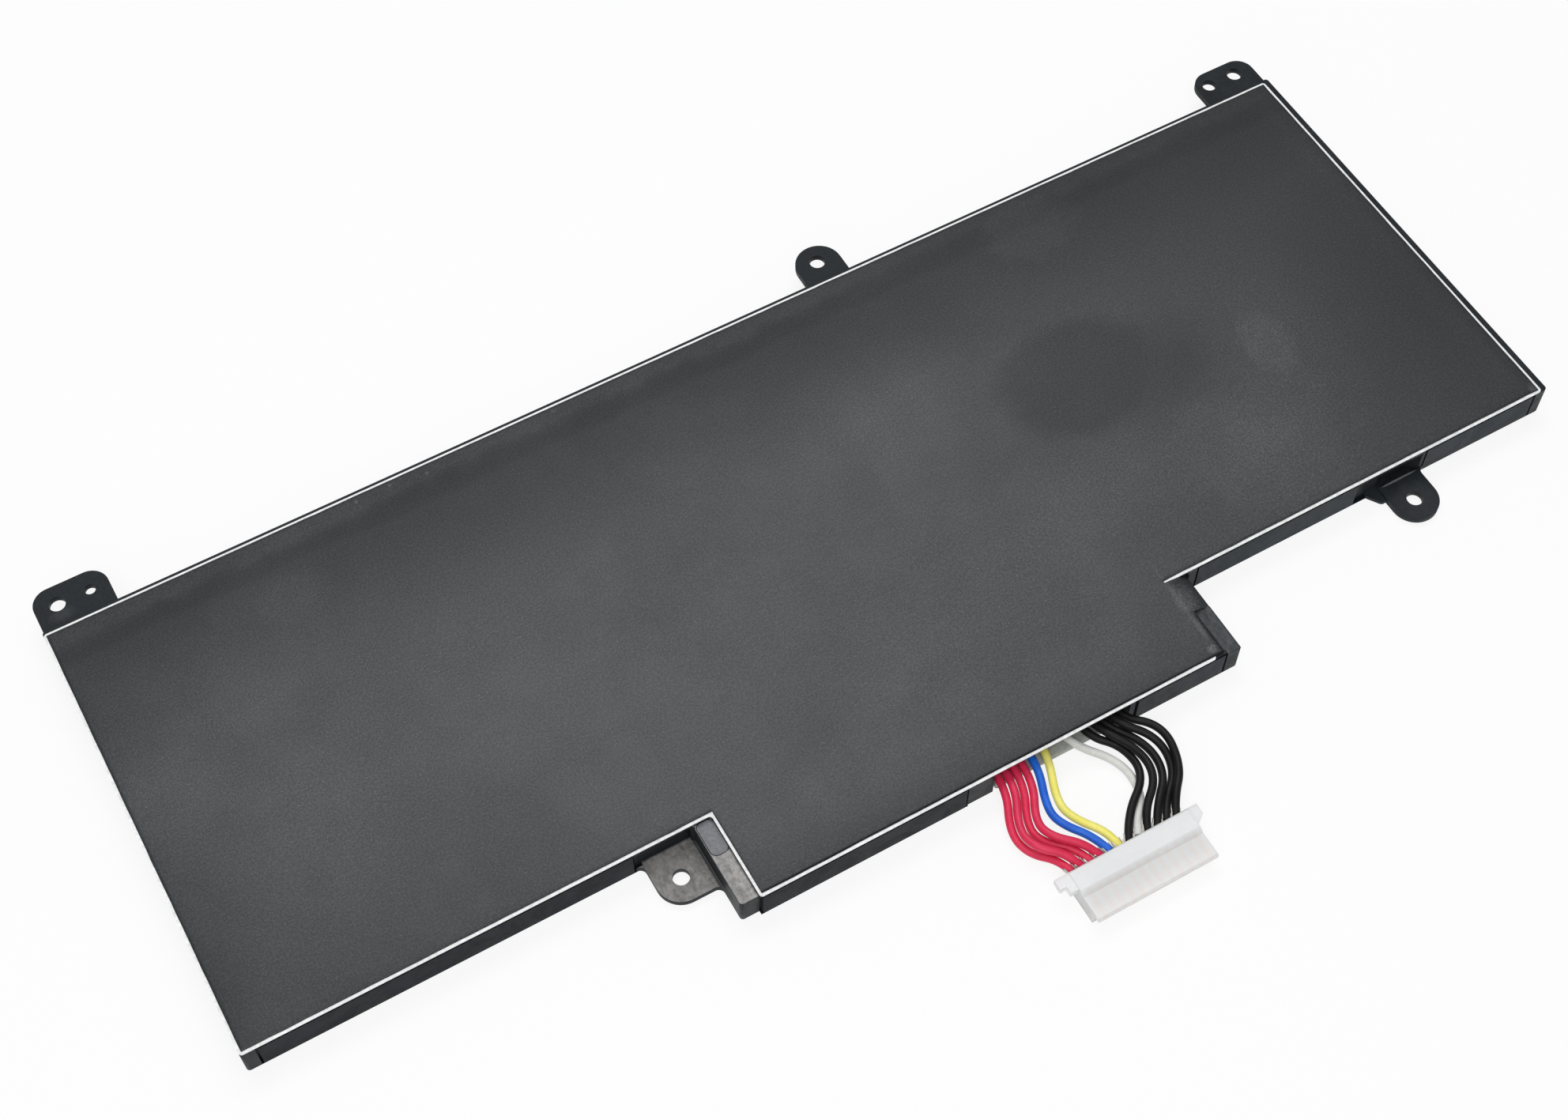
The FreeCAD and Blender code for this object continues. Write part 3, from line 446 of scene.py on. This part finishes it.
# Dusty places on the frame, some of them painted light: by the wall on the left ear where shade falls,
# and a thin highlight along the right ear's back edge. In millimetres: x, y, height, half length and
# width, softness and strength
DUST_AND_LIGHT_PLACES = [
    (-32.6, -31.2, 1.0, 1.4, 0.35, 0.9, 0.5), (-36.8, -28.2, 1.0, 0.5, 1.6, 0.9, 0.3),
    (-35.6, -26.5, 1.0, 3.0, 1.2, 0.8, 0.45), (61.6, -29.5, 1.0, 3.6, 5.0, 0.8, 0.03),
    (61.6, -25.55, 1.0, 2.75, 0.16, 0.3, 0.5), (-79.6, 32.2, 3.4, 2.2, 1.3, 0.9, 0.09),
]
DUST_AND_LIGHT_DEPTH = 1.2
DUST_AND_LIGHT_RAGGEDNESS = 0.15

# Smooth pad on the left ledge in millimetres: left, right, front, back and corner
LEDGE_PAD = (-30.92, -28.95, -29.6, -25.4, 0.7)
PAD_EDGE = (0.03, -0.03)
PAD_LINE_EDGE = (0.13, 0.08)


def area_distance(tree, left, right, front, back, corner):
    """Distance out from the edge of an area of the frame, given in millimetres."""
    middle = metres((left + right) / 2, (front + back) / 2, 0.0)
    core = metres((right - left) / 2 - corner, (back - front) / 2 - corner, 0.0)
    return grouped(tree, rounded_area, Middle=middle, Core=core, Corner=corner * MM).outputs["Away"]


def frame_plastic():
    """Black moulded plastic with a blue cast, rubbed on both ledges and the left ear, dusty, and with
    painted light on both ears.
    """
    material, tree, shader = new_finish("frame_plastic", roughness=0.5, specular=0.14)
    grain = grouped(tree, fine_grain, Size=2600.0, Specks=0.15)
    cloud = grouped(tree, cloudy, Size=420.0).outputs["Cloud"]
    blotch = grouped(tree, cloudy, Size=1500.0)
    facing = split(tree, place(tree, "ShaderNodeNewGeometry").outputs["Normal"])["Z"]
    upward = remap(tree, facing, FACING_UP)
    rubbed = blend_colour(tree, blotch.outputs["Cloud"], WORN_DARK, WORN_LIGHT)
    scraped = combine(tree, "MULTIPLY", blotch.outputs["Streak"], SCRAPE_SHARE)
    rubbed = blend_colour(tree, scraped, rubbed, SCRAPED)
    colour = blend_colour(tree, cloud, PLASTIC_DARK, PLASTIC_LIGHT)
    for left, right, front, back, tint in RUBBED_AREAS:
        away = area_distance(tree, left, right, front, back, RUBBED_CORNER)
        rim_lightening = combine(tree, "MULTIPLY", remap(tree, away, metres(*RUBBED_EDGE)), upward)
        colour = blend_colour(tree, rim_lightening, colour, vector(tree, "MULTIPLY", rubbed, tint))
    # Some of these places paint light: on the left ear where the wall's shade falls, and as a highlight
    # line along the right ear's back edge.
    for x, y, z, reach_x, reach_y, softness, strength in DUST_AND_LIGHT_PLACES:
        mask = patch(tree, (x, y, z), (reach_x, reach_y, DUST_AND_LIGHT_DEPTH), softness, DUST_AND_LIGHT_RAGGEDNESS)
        dust_and_light = combine(tree, "MULTIPLY", combine(tree, "MULTIPLY", mask, upward), strength)
        colour = blend_colour(tree, dust_and_light, colour, DUST_AND_LIGHT)
    away = area_distance(tree, *LEDGE_PAD)
    outline = combine(tree, "MULTIPLY", remap(tree, away, metres(*PAD_LINE_EDGE)), upward)
    colour = blend_colour(tree, outline, colour, PAD_LINE)
    pad = combine(tree, "MULTIPLY", remap(tree, away, metres(*PAD_EDGE)), upward)
    colour = blend_colour(tree, pad, colour, blend_colour(tree, cloud, PAD_DARK, PAD_LIGHT))
    tree.links.new(shade_colour(tree, colour, grain.outputs["Shade"]), shader.inputs["Base Color"])
    tree.links.new(remap(tree, cloud, FULL, PLASTIC_GLOSS), shader.inputs["Roughness"])
    roughen(tree, shader, grain.outputs["Height"], depth=0.05)
    return material


GRAIN_SWING = (0.85, 1.15)
SHEATH_SHADES = (0.96, 1.04)
SHEATH_GLOSS = (0.4, 0.5)


def lead_sheath(name, dark, light, specular=0.4):
    """Smooth soft sheath of a lead."""
    material, tree, shader = new_finish(name, roughness=0.42, specular=specular)
    grain = grouped(tree, fine_grain, Size=5000.0, Specks=0.0)
    cloud = grouped(tree, cloudy, Size=500.0)
    colour = blend_colour(tree, cloud.outputs["Cloud"], dark, light)
    shade = remap(tree, grain.outputs["Shade"], GRAIN_SWING, SHEATH_SHADES)
    tree.links.new(shade_colour(tree, colour, shade), shader.inputs["Base Color"])
    tree.links.new(remap(tree, cloud.outputs["Streak"], FULL, SHEATH_GLOSS), shader.inputs["Roughness"])
    roughen(tree, shader, grain.outputs["Height"], depth=0.01)
    return material


NYLON_REAR_DARK = (0.815, 0.82, 0.827)
NYLON_REAR_LIGHT = (0.855, 0.86, 0.867)
NYLON_NOSE_DARK = (0.77, 0.762, 0.75)
NYLON_NOSE_LIGHT = (0.8, 0.792, 0.78)
NYLON_STRIPE = (0.8, 0.715, 0.685)
NYLON_SHADES = (0.985, 1.015)
NYLON_GLOSS = (0.36, 0.44)
NYLON_LETS_THROUGH = 0.7
NYLON_DEPTHS = (1.0, 0.9, 0.85)
# How deep light goes into the nylon, and where the nose starts, in millimetres
NYLON_DEPTH_SCALE = 1.8
NOSE_EDGE = (-51.3, -51.9)
STRIPE_SPAN = (-0.8, 1.0)
STRIPE_SHARE = 0.5


def milky_nylon():
    """Natural nylon that lets a little light through, with the contacts' warmth showing in its nose."""
    material, tree, shader = new_finish("milky_nylon", roughness=0.4)
    shader.inputs["Subsurface Weight"].default_value = NYLON_LETS_THROUGH
    shader.inputs["Subsurface Radius"].default_value = NYLON_DEPTHS
    shader.inputs["Subsurface Scale"].default_value = NYLON_DEPTH_SCALE * MM
    cloud = grouped(tree, cloudy, Size=160.0)
    grain = grouped(tree, fine_grain, Size=6000.0, Specks=0.0)
    rear = blend_colour(tree, cloud.outputs["Cloud"], NYLON_REAR_DARK, NYLON_REAR_LIGHT)
    front = blend_colour(tree, cloud.outputs["Cloud"], NYLON_NOSE_DARK, NYLON_NOSE_LIGHT)
    where = split(tree, position(tree))
    nose = remap(tree, where["Y"], metres(*NOSE_EDGE))
    colour = blend_colour(tree, nose, rear, front)
    past_first = combine(tree, "SUBTRACT", where["X"], (LEFT + PLUG_FIRST) * MM)
    turn = combine(tree, "MULTIPLY", past_first, math.tau / (PLUG_PITCH * MM))
    wave = place(tree, "ShaderNodeMath", {0: turn}, operation="COSINE").outputs[0]
    stripe = combine(tree, "MULTIPLY", remap(tree, wave, STRIPE_SPAN), nose)
    stripe = combine(tree, "MULTIPLY", stripe, STRIPE_SHARE)
    colour = blend_colour(tree, stripe, colour, NYLON_STRIPE)
    shade = remap(tree, grain.outputs["Shade"], GRAIN_SWING, NYLON_SHADES)
    tree.links.new(shade_colour(tree, colour, shade), shader.inputs["Base Color"])
    tree.links.new(remap(tree, cloud.outputs["Streak"], FULL, NYLON_GLOSS), shader.inputs["Roughness"])
    roughen(tree, shader, grain.outputs["Height"], depth=0.008)
    return material


METAL_ROUGHNESS_SWING = 0.1


def bare_metal(name, dark, light, roughness):
    """Bare metal with clouded tone and drawn-out differences in its shine."""
    material, tree, shader = new_finish(name, roughness)
    shader.inputs["Metallic"].default_value = 1.0
    cloud = grouped(tree, cloudy, Size=700.0)
    grain = grouped(tree, fine_grain, Size=3000.0, Specks=0.0)
    tree.links.new(blend_colour(tree, cloud.outputs["Cloud"], dark, light), shader.inputs["Base Color"])
    swing = (roughness - METAL_ROUGHNESS_SWING, roughness + METAL_ROUGHNESS_SWING)
    tree.links.new(remap(tree, cloud.outputs["Streak"], FULL, swing), shader.inputs["Roughness"])
    roughen(tree, shader, grain.outputs["Height"], depth=0.02)
    return material


# Dark colour, light colour and roughness; the black film also has its specular and its painted sheen
# colour
PLAIN_FILMS = {
    "white_film": ((0.86, 0.87, 0.875), (0.94, 0.945, 0.945), 0.5),
    "black_film": ((0.0065, 0.0092, 0.0132), (0.0112, 0.0148, 0.02), 0.42, 0.05, (0.029, 0.036, 0.043)),
    "board_laminate": ((0.4, 0.415, 0.385), (0.54, 0.555, 0.52), 0.6),
    "chip_epoxy": ((0.015, 0.015, 0.016), (0.026, 0.026, 0.027), 0.55),
    "fuse_ceramic": ((0.5, 0.48, 0.42), (0.66, 0.63, 0.55), 0.5),
    "capacitor_ceramic": ((0.26, 0.18, 0.1), (0.37, 0.26, 0.16), 0.5),
}
# Dark colour, light colour and roughness of each metal
BARE_METALS = {
    "solder": ((0.5, 0.5, 0.51), (0.7, 0.7, 0.71), 0.35),
    "tinned_bronze": ((0.66, 0.63, 0.59), (0.82, 0.8, 0.77), 0.42),
    "pouch_foil": ((0.55, 0.55, 0.56), (0.66, 0.66, 0.67), 0.3),
    "tab_aluminium": ((0.62, 0.62, 0.63), (0.75, 0.75, 0.76), 0.35),
    "tab_nickel": ((0.5, 0.48, 0.44), (0.64, 0.62, 0.58), 0.35),
}
# Dark and light colour of each sheath; the black one also has its specular
LEAD_SHEATHS = {
    "red_sheath": ((0.71, 0.022, 0.079), (0.79, 0.03, 0.1)),
    "blue_sheath": ((0.008, 0.122, 0.67), (0.015, 0.165, 0.8)),
    "yellow_sheath": ((0.93, 0.86, 0.16), (0.98, 0.92, 0.24)),
    "black_sheath": ((0.007, 0.007, 0.008), (0.012, 0.012, 0.013), 0.2),
    "white_sheath": ((0.7, 0.71, 0.685), (0.78, 0.79, 0.765)),
}

finishes = {
    "frame_plastic": frame_plastic(),
    "charcoal_film": charcoal_film(),
    "milky_nylon": milky_nylon(),
}
for make, looks in ((plain_film, PLAIN_FILMS), (bare_metal, BARE_METALS), (lead_sheath, LEAD_SHEATHS)):
    for name, look in looks.items():
        finishes[name] = make(name, *look)

for entry in frame["record"]["subparts"]:
    node = nodes[entry["node"]]
    node.data.materials.clear()
    node.data.materials.append(finishes[entry["material_slot"]])


# Pieces

def join_piece(name, data, slot, *replaced):
    """Puts a new piece in the scene with its finish, in place of the CAD nodes it stands for."""
    piece = bpy.data.objects.new(name, data)
    bpy.context.scene.collection.objects.link(piece)
    data.materials.append(finishes[slot])
    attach(piece, "root")
    if replaced:
        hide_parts(*replaced)
    return piece


# Where the thickness of a sheet lies
UNDER = -1.0
ABOUT = 0.0


def join_sheet(name, mesh, thickness, offset, slot, *replaced):
    """Puts a smooth sheet in the scene; its thickness in millimetres lies under it or about it."""
    for face in mesh.faces:
        face.smooth = True
    data = bpy.data.meshes.new(name)
    mesh.to_mesh(data)
    mesh.free()
    piece = join_piece(name, data, slot, *replaced)
    thick = piece.modifiers.new("thickness", "SOLIDIFY")
    thick.thickness = thickness * MM
    thick.offset = offset


# Points closer than this, in millimetres, are one; the angles between faces are in degrees
WELD_REACH = 0.002
FLAT_ANGLE = 1.0
HARD_ANGLE = 40
# Round on the hard edges of CAD nodes: its width in millimetres and its steps
EDGE_ROUNDS = {
    "frame": (0.12, 2),
    "plug_housing": (0.14, 3),
    "crimp_contacts": (0.04, 2),
    "base_film": (0.05, 2),
}


def soften_edges(node, width, steps):
    """Small round on the hard edges of a moulded or cut CAD node."""
    weld = node.modifiers.new("weld", "WELD")
    weld.merge_threshold = WELD_REACH * MM
    flat = node.modifiers.new("flat_faces", "DECIMATE")
    flat.decimate_type = "DISSOLVE"
    flat.angle_limit = math.radians(FLAT_ANGLE)
    bevel = node.modifiers.new("edge_round", "BEVEL")
    bevel.width = width * MM
    bevel.segments = steps
    bevel.limit_method = "ANGLE"
    bevel.angle_limit = math.radians(HARD_ANGLE)
    bevel.use_clamp_overlap = True
    bevel.miter_outer = "MITER_ARC"
    normals = node.modifiers.new("even_shading", "WEIGHTED_NORMAL")
    normals.keep_sharp = True


# The charcoal sheet in millimetres: its thickness, the spacing of its points and its rolled edge
FILM_SHEET = 0.06
SHEET_STEP = 1.4
TAB_STEP = 1.2
TONGUE_STEP = 1.0
LANDING_STEP = 0.4
ROLLED_EDGE = 0.4
ROLLED_STOPS = (0.0, 0.3, 0.6)
ROLLED_DROP = 0.07
EDGE_WOBBLE = 0.05
LEVEL_MARGIN = 3.0
NEARLY = 0.01

# Waves of the sheet: length each way in millimetres, and a layer of the noise for each
BROAD_WAVES = (34, 26, 0.3)
SHORT_WAVES = (15, 13, 4.1)
EDGE_WAVES = (2.3, 2.3, 9.0)
SHORT_SHARE = 0.5

# How far the sheet lies below its top in millimetres: everywhere, in its pressed oval and by its back
SLACK = 0.035
SLACK_SWING = 0.02
OVAL_MIDDLE = (36.5, 0.5)
OVAL_REACH = (13.0, 10.0)
OVAL_DROP = 0.03
DIP_FROM_BACK = 3.6
DIP_WIDTH = 1.5
DIP_DROP = 0.035
LARGEST_DROP = 0.11

# Steps of the tongue over the round, at its ridge and down its side
ROUND_STEPS = 6
RIDGE_STEPS = 4
SIDE_STEPS = 3


def stops(low, high, step):
    """Even stops between two places, with closer ones by each end for the rolled edge."""
    length = high - low - 2 * ROLLED_EDGE
    count = max(2, round(length / step))
    inner = [low + ROLLED_EDGE + length * i / count for i in range(count + 1)]
    ends = [ROLLED_EDGE * t for t in ROLLED_STOPS]
    return [low + t for t in ends] + inner + [high - t for t in reversed(ends)]


def waves(x, y, length_x, length_y, layer):
    """Smooth noise with waves of the given lengths."""
    return noise.noise(Vector((x / length_x, y / length_y, layer)))


def film_relief(x, y):
    """How far the film lies below its highest level, in millimetres."""
    swell = waves(x, y, *BROAD_WAVES) + SHORT_SHARE * waves(x, y, *SHORT_WAVES)
    relief = SLACK + SLACK_SWING * swell
    oval = ((x - OVAL_MIDDLE[0]) / OVAL_REACH[0]) ** 2 + ((y - OVAL_MIDDLE[1]) / OVAL_REACH[1]) ** 2
    relief += OVAL_DROP * math.exp(-oval ** 2)
    inside = FILM_BACK - y
    relief += DIP_DROP * math.exp(-((inside - DIP_FROM_BACK) / DIP_WIDTH) ** 2)
    return min(relief, LARGEST_DROP)


def film_edge_distance(x, y):
    """Distance in from the nearest edge of the charcoal sheet."""
    sides = [x - FILM_LEFT, FILM_RIGHT - x, FILM_BACK - y]
    if TAB_LEFT < x < TONGUE_START:
        sides.append(y - TAB_FRONT)
        if y < FILM_FRONT:
            sides = [x - TAB_LEFT, y - TAB_FRONT]
            if y < TONGUE_FRONT:
                sides.append(TAB_RIGHT - x)
    elif y >= FILM_FRONT:
        sides.append(y - FILM_FRONT)
    else:
        sides = [y - TAB_FRONT, TAB_RIGHT - x]
    return max(0.0, min(sides))


def sheet_place(x, y):
    """Where a point of the sheet lies in metres, with its slack, rolled edge and wavering outline."""
    inward = film_edge_distance(x, y)
    drop = film_relief(x, y) * min(1.0, inward / LEVEL_MARGIN)
    if inward < ROLLED_EDGE:
        drop = ROLLED_DROP * (1 - inward / ROLLED_EDGE) ** 2
    wobble = EDGE_WOBBLE * waves(x, y, *EDGE_WAVES) * (inward < NEARLY)
    if abs(x - TONGUE_START) < NEARLY and y < FRONT + NEARLY:
        drop = 0.0
        wobble = 0.0
    return metres(x + wobble, y + wobble, FILM_TOP - drop)


def tongue_profile():
    """Places of the tongue from the sheet's level, over the shoulder's ridge and down its side."""
    centre = FILM_TOP - TONGUE_RADIUS
    ridge_radius = TONGUE_RADIUS - TONGUE_EDGE
    ridge_x = TONGUE_SIDE - TONGUE_EDGE
    ridge_angle = math.asin((ridge_x - TONGUE_START) / ridge_radius)
    ridge_z = centre + ridge_radius * math.cos(ridge_angle)
    profile = []
    for k in range(1, ROUND_STEPS + 1):
        angle = ridge_angle * k / ROUND_STEPS
        x = TONGUE_START + TONGUE_RADIUS * math.sin(angle)
        profile.append((x, centre + TONGUE_RADIUS * math.cos(angle)))
    for k in range(1, RIDGE_STEPS + 1):
        angle = ridge_angle + (math.pi / 2 - ridge_angle) * k / RIDGE_STEPS
        x = ridge_x + TONGUE_EDGE * math.sin(angle)
        profile.append((x, ridge_z + TONGUE_EDGE * math.cos(angle)))
    for k in range(1, SIDE_STEPS + 1):
        profile.append((TONGUE_SIDE, ridge_z + (TONGUE_FOOT - ridge_z) * k / SIDE_STEPS))
    return profile


def cover_sheet():
    """Charcoal sheet, slack and laid by hand, with a rolled edge and its tongue over the shoulder."""
    xs = stops(FILM_LEFT, TAB_LEFT, SHEET_STEP)[:-1] + stops(TAB_LEFT, TONGUE_START, SHEET_STEP)[:-1]
    xs = xs + [TONGUE_START, TONGUE_START + LANDING_STEP, TAB_RIGHT]
    xs = xs + stops(TAB_RIGHT, FILM_RIGHT, SHEET_STEP)[1:]
    ys = stops(TAB_FRONT, TONGUE_FRONT, TAB_STEP)[:-1] + stops(TONGUE_FRONT, FRONT, TONGUE_STEP)[:-1]
    ys = ys + [FRONT] + stops(FILM_FRONT, FILM_BACK, SHEET_STEP)
    sheet = bmesh.new()
    points = {}

    def point(i, j):
        if (i, j) not in points:
            points[i, j] = sheet.verts.new(sheet_place(xs[i], ys[j]))
        return points[i, j]

    for i in range(len(xs) - 1):
        for j in range(len(ys) - 1):
            x = (xs[i] + xs[i + 1]) / 2
            y = (ys[j] + ys[j + 1]) / 2
            main = y > FILM_FRONT
            tab = TAB_LEFT < x < TONGUE_START
            landing = TONGUE_START < x < TAB_RIGHT and y < TONGUE_FRONT
            if main or tab or landing:
                sheet.faces.new((point(i, j), point(i + 1, j), point(i + 1, j + 1), point(i, j + 1)))
    column = xs.index(TONGUE_START)
    rows = [j for j, y in enumerate(ys) if TONGUE_FRONT - NEARLY <= y <= FRONT + NEARLY]
    before = [point(column, j) for j in rows]
    for x, z in tongue_profile():
        ring = [sheet.verts.new(metres(x, ys[j], z)) for j in rows]
        for a in range(len(rows) - 1):
            sheet.faces.new((before[a], ring[a], ring[a + 1], before[a + 1]))
        before = ring
    join_sheet("cover_film_sheet", sheet, FILM_SHEET, UNDER, "charcoal_film", "cover_film")


# The leads in the order of their seats in the plug: bends from the pack's left end, front wall and floor
LEAD_BENDS = {
    "red_lead_1": [
        (82.88, -11.86, 2.18), (80.55, -16.22, 1.45), (81.28, -18.98, 0.63), (83.5, -21.39, 1.27),
    ],
    "red_lead_2": [
        (83.92, -12.01, 2.39), (81.31, -16.56, 2.13), (81.68, -19.4, 2.6), (84.45, -21.55, 2.07),
    ],
    "red_lead_3": [
        (84.97, -12.05, 2.04), (82.72, -16.22, 0.91), (83.01, -18.84, 1.41), (85.77, -21.28, 1.47),
    ],
    "red_lead_4": [
        (86.01, -12.35, 1.87), (83.45, -16.54, 1.91), (83.82, -19.15, 2.56), (86.72, -21.6, 2.27),
    ],
    "blue_lead": [
        (87.3, -11.21, 2.07), (85.65, -15.48, 1.18), (85.7, -18.0, 1.72), (88.26, -21.06, 1.27),
    ],
    "yellow_lead": [
        (89.06, -10.37, 2.11), (86.91, -15.56, 1.02), (87.44, -18.57, 1.79), (89.64, -21.33, 1.66),
    ],
    "black_lead_1": [
        (93.83, -10.74, 1.87), (96.69, -13.31, 1.4), (96.81, -17.64, 1.8), (92.42, -20.67, 1.75),
    ],
    "white_lead": [
        (91.54, -10.55, 1.99), (95.87, -14.54, 0.61), (95.63, -19.16, 0.79), (93.09, -21.47, 1.27),
    ],
    "black_lead_2": [
        (94.88, -10.26, 2.55), (97.73, -15.1, 2.39), (97.34, -18.81, 2.51), (94.22, -21.26, 1.89),
    ],
    "black_lead_3": [
        (95.93, -10.14, 1.95), (99.11, -14.31, 1.49), (98.76, -18.58, 1.92), (95.79, -21.38, 1.84),
    ],
    "black_lead_4": [
        (96.97, -11.05, 2.82), (100.39, -14.46, 2.03), (100.15, -18.54, 1.29), (97.02, -21.26, 1.27),
    ],
    "black_lead_5": [
        (98.02, -10.33, 1.87), (101.58, -13.84, 2.42), (100.58, -18.85, 2.2), (97.97, -21.49, 1.87),
    ],
}

# The crimps' wings in millimetres; each one reaches round its lead by an angle both ways from below
WING_RADIUS = 0.53
WING_SHEET = 0.08
WING_BACK = 0.35
WING_LENGTH = 0.75
WING_BEND = 0.7 * WING_LENGTH
WING_FLARE = 0.03
WING_RINGS = [(-WING_BACK, 0.0), (0.0, 0.0), (WING_BEND, 0.0), (WING_LENGTH, WING_FLARE)]
WING_REACH = 125
WING_SIDES = 12
BELOW = -90


def lead_route(seat, bends):
    """A lead's points from its solder joint on the board, through its bends, to its seat in the plug."""
    row = SOLDER_OFFSET
    if seat < SECOND_ROW_COUNT:
        row = SOLDER_OFFSET + SOLDER_ROW_STEP
    start = (bends[0][0], -row, LEAD_START_HEIGHT)
    end = (PLUG_FIRST + PLUG_PITCH * seat, -PLUG_REACH, CONTACT_AXIS)
    return [(LEFT + x, FRONT + y, z) for x, y, z in [start] + bends + [end]]


def lead_wire(name, route):
    """Round wire along a lead's route, in place of its solid."""
    data = bpy.data.curves.new(name + "_wire", "CURVE")
    data.dimensions = "3D"
    data.bevel_depth = LEAD_DIAMETER / 2 * MM
    data.bevel_resolution = 5
    data.resolution_u = 10
    data.use_fill_caps = True
    spline = data.splines.new("NURBS")
    spline.points.add(len(route) - 1)
    for control, spot in zip(spline.points, route):
        control.co = metres(*spot) + (1.0,)
    spline.order_u = 3
    spline.use_endpoint_u = True
    spline.use_smooth = True
    join_piece(name + "_wire", data, name.split("_")[0] + "_sheath", name)


def crimp_wings(routes):
    """Wings of the tin contacts, folded round the end of each lead behind the plug."""
    wings = bmesh.new()
    for route in routes:
        end = Vector(route[-1])
        along = (Vector(route[-2]) - end).normalized()
        side = along.cross(Vector((0, 0, 1))).normalized()
        up = side.cross(along)
        rows = []
        for reach, flare in WING_RINGS:
            row = []
            spread = WING_RADIUS + flare
            for k in range(WING_SIDES + 1):
                angle = math.radians(BELOW - WING_REACH + 2 * WING_REACH * k / WING_SIDES)
                out = side * math.cos(angle) * spread + up * math.sin(angle) * spread
                row.append(wings.verts.new((end + along * reach + out) * MM))
            rows.append(row)
        for near, far in zip(rows, rows[1:]):
            for k in range(WING_SIDES):
                wings.faces.new((near[k], near[k + 1], far[k + 1], far[k]))
    join_sheet("crimp_wings", wings, WING_SHEET, ABOUT, "tinned_bronze")


lead_routes = {name: lead_route(seat, bends) for seat, (name, bends) in enumerate(LEAD_BENDS.items())}
cover_sheet()
crimp_wings(lead_routes.values())
for name, route in lead_routes.items():
    lead_wire(name, route)
for name, (width, steps) in EDGE_ROUNDS.items():
    soften_edges(nodes[name], width, steps)


# Stage

# Lengths here are in metres, the camera's lens and sensor in millimetres, and its turn in degrees
FLOOR_HALF = 1.5
FLOOR_LEVEL = -0.00002
FLOOR_GLOW = 0.85
WORLD_FILL = 0.3
WHITE = (1.0, 1.0, 1.0, 1.0)
PALE_GREY = (0.95, 0.95, 0.95, 1.0)
# Lamps turned to the middle of the pack: place, size each way and energy
LAMPS = {
    "key_softbox": ((0.088, 0.256, 0.532), (0.48, 0.21), 1.3),
    "top_fill": ((-0.12, -0.2, 0.5), (0.4, 0.4), 1.15),
    "front_fill": ((-0.35, -0.4, 0.35), (0.4, 0.4), 0.5),
}
CAMERA_PLACE = (-0.075975, -0.126973, 0.234974)
CAMERA_TURN = (31.8287, 0.3583, -29.5205)
CAMERA_LENS = 55.636
CAMERA_SENSOR = 36.0
CAMERA_NEAR = 0.005


def stage_finish(name):
    """White to the camera and in reflections, and still taking some of the object's shadow."""
    material = bpy.data.materials.new(name)
    material.use_nodes = True
    tree = material.node_tree
    surface = tree.nodes["Principled BSDF"]
    surface.inputs["Base Color"].default_value = PALE_GREY
    surface.inputs["Roughness"].default_value = 0.9
    glow = place(tree, "ShaderNodeEmission", values={"Color": WHITE, "Strength": 1.0})
    path = place(tree, "ShaderNodeLightPath")
    seen = combine(tree, "MAXIMUM", path.outputs["Is Camera Ray"], path.outputs["Is Glossy Ray"])
    seen = combine(tree, "MAXIMUM", seen, path.outputs["Is Transmission Ray"])
    share = combine(tree, "MULTIPLY", seen, FLOOR_GLOW)
    mix = place(tree, "ShaderNodeMixShader",
                {0: share, 1: surface.outputs["BSDF"], 2: glow.outputs["Emission"]})
    tree.links.new(mix.outputs["Shader"], tree.nodes["Material Output"].inputs["Surface"])
    return material


def floor():
    data = bpy.data.meshes.new("floor")
    ways = [(-1, -1), (1, -1), (1, 1), (-1, 1)]
    corners = [(x * FLOOR_HALF, y * FLOOR_HALF, FLOOR_LEVEL) for x, y in ways]
    data.from_pydata(corners, [], [(0, 1, 2, 3)])
    piece = bpy.data.objects.new("floor", data)
    bpy.context.scene.collection.objects.link(piece)
    data.materials.append(stage_finish("pale_floor"))


def lamp(name, spot, size, energy):
    data = bpy.data.lights.new(name, "AREA")
    data.shape = "RECTANGLE"
    data.size, data.size_y = size
    data.energy = energy
    piece = bpy.data.objects.new(name, data)
    piece.location = spot
    piece.rotation_euler = (-Vector(spot)).to_track_quat("-Z", "Y").to_euler()
    bpy.context.scene.collection.objects.link(piece)


def studio_world():
    """Pure white to the camera and a weaker white light all round."""
    world = bpy.data.worlds.new("studio")
    bpy.context.scene.world = world
    world.use_nodes = True
    tree = world.node_tree
    background = tree.nodes["Background"]
    background.inputs["Color"].default_value = WHITE
    path = place(tree, "ShaderNodeLightPath")
    strength = place(tree, "ShaderNodeMath", {0: path.outputs["Is Camera Ray"]},
                     {1: 1.0 - WORLD_FILL, 2: WORLD_FILL}, operation="MULTIPLY_ADD")
    tree.links.new(strength.outputs[0], background.inputs["Strength"])


def photo_camera():
    data = bpy.data.cameras.new("photo_camera")
    data.sensor_fit = "HORIZONTAL"
    data.sensor_width = CAMERA_SENSOR
    data.lens = CAMERA_LENS
    data.clip_start = CAMERA_NEAR
    piece = bpy.data.objects.new("photo_camera", data)
    piece.location = CAMERA_PLACE
    piece.rotation_euler = [math.radians(angle) for angle in CAMERA_TURN]
    bpy.context.scene.collection.objects.link(piece)
    bpy.context.scene.camera = piece


floor()
for name, look in LAMPS.items():
    lamp(name, *look)
studio_world()
photo_camera()
bpy.context.scene.view_settings.view_transform = "Standard"
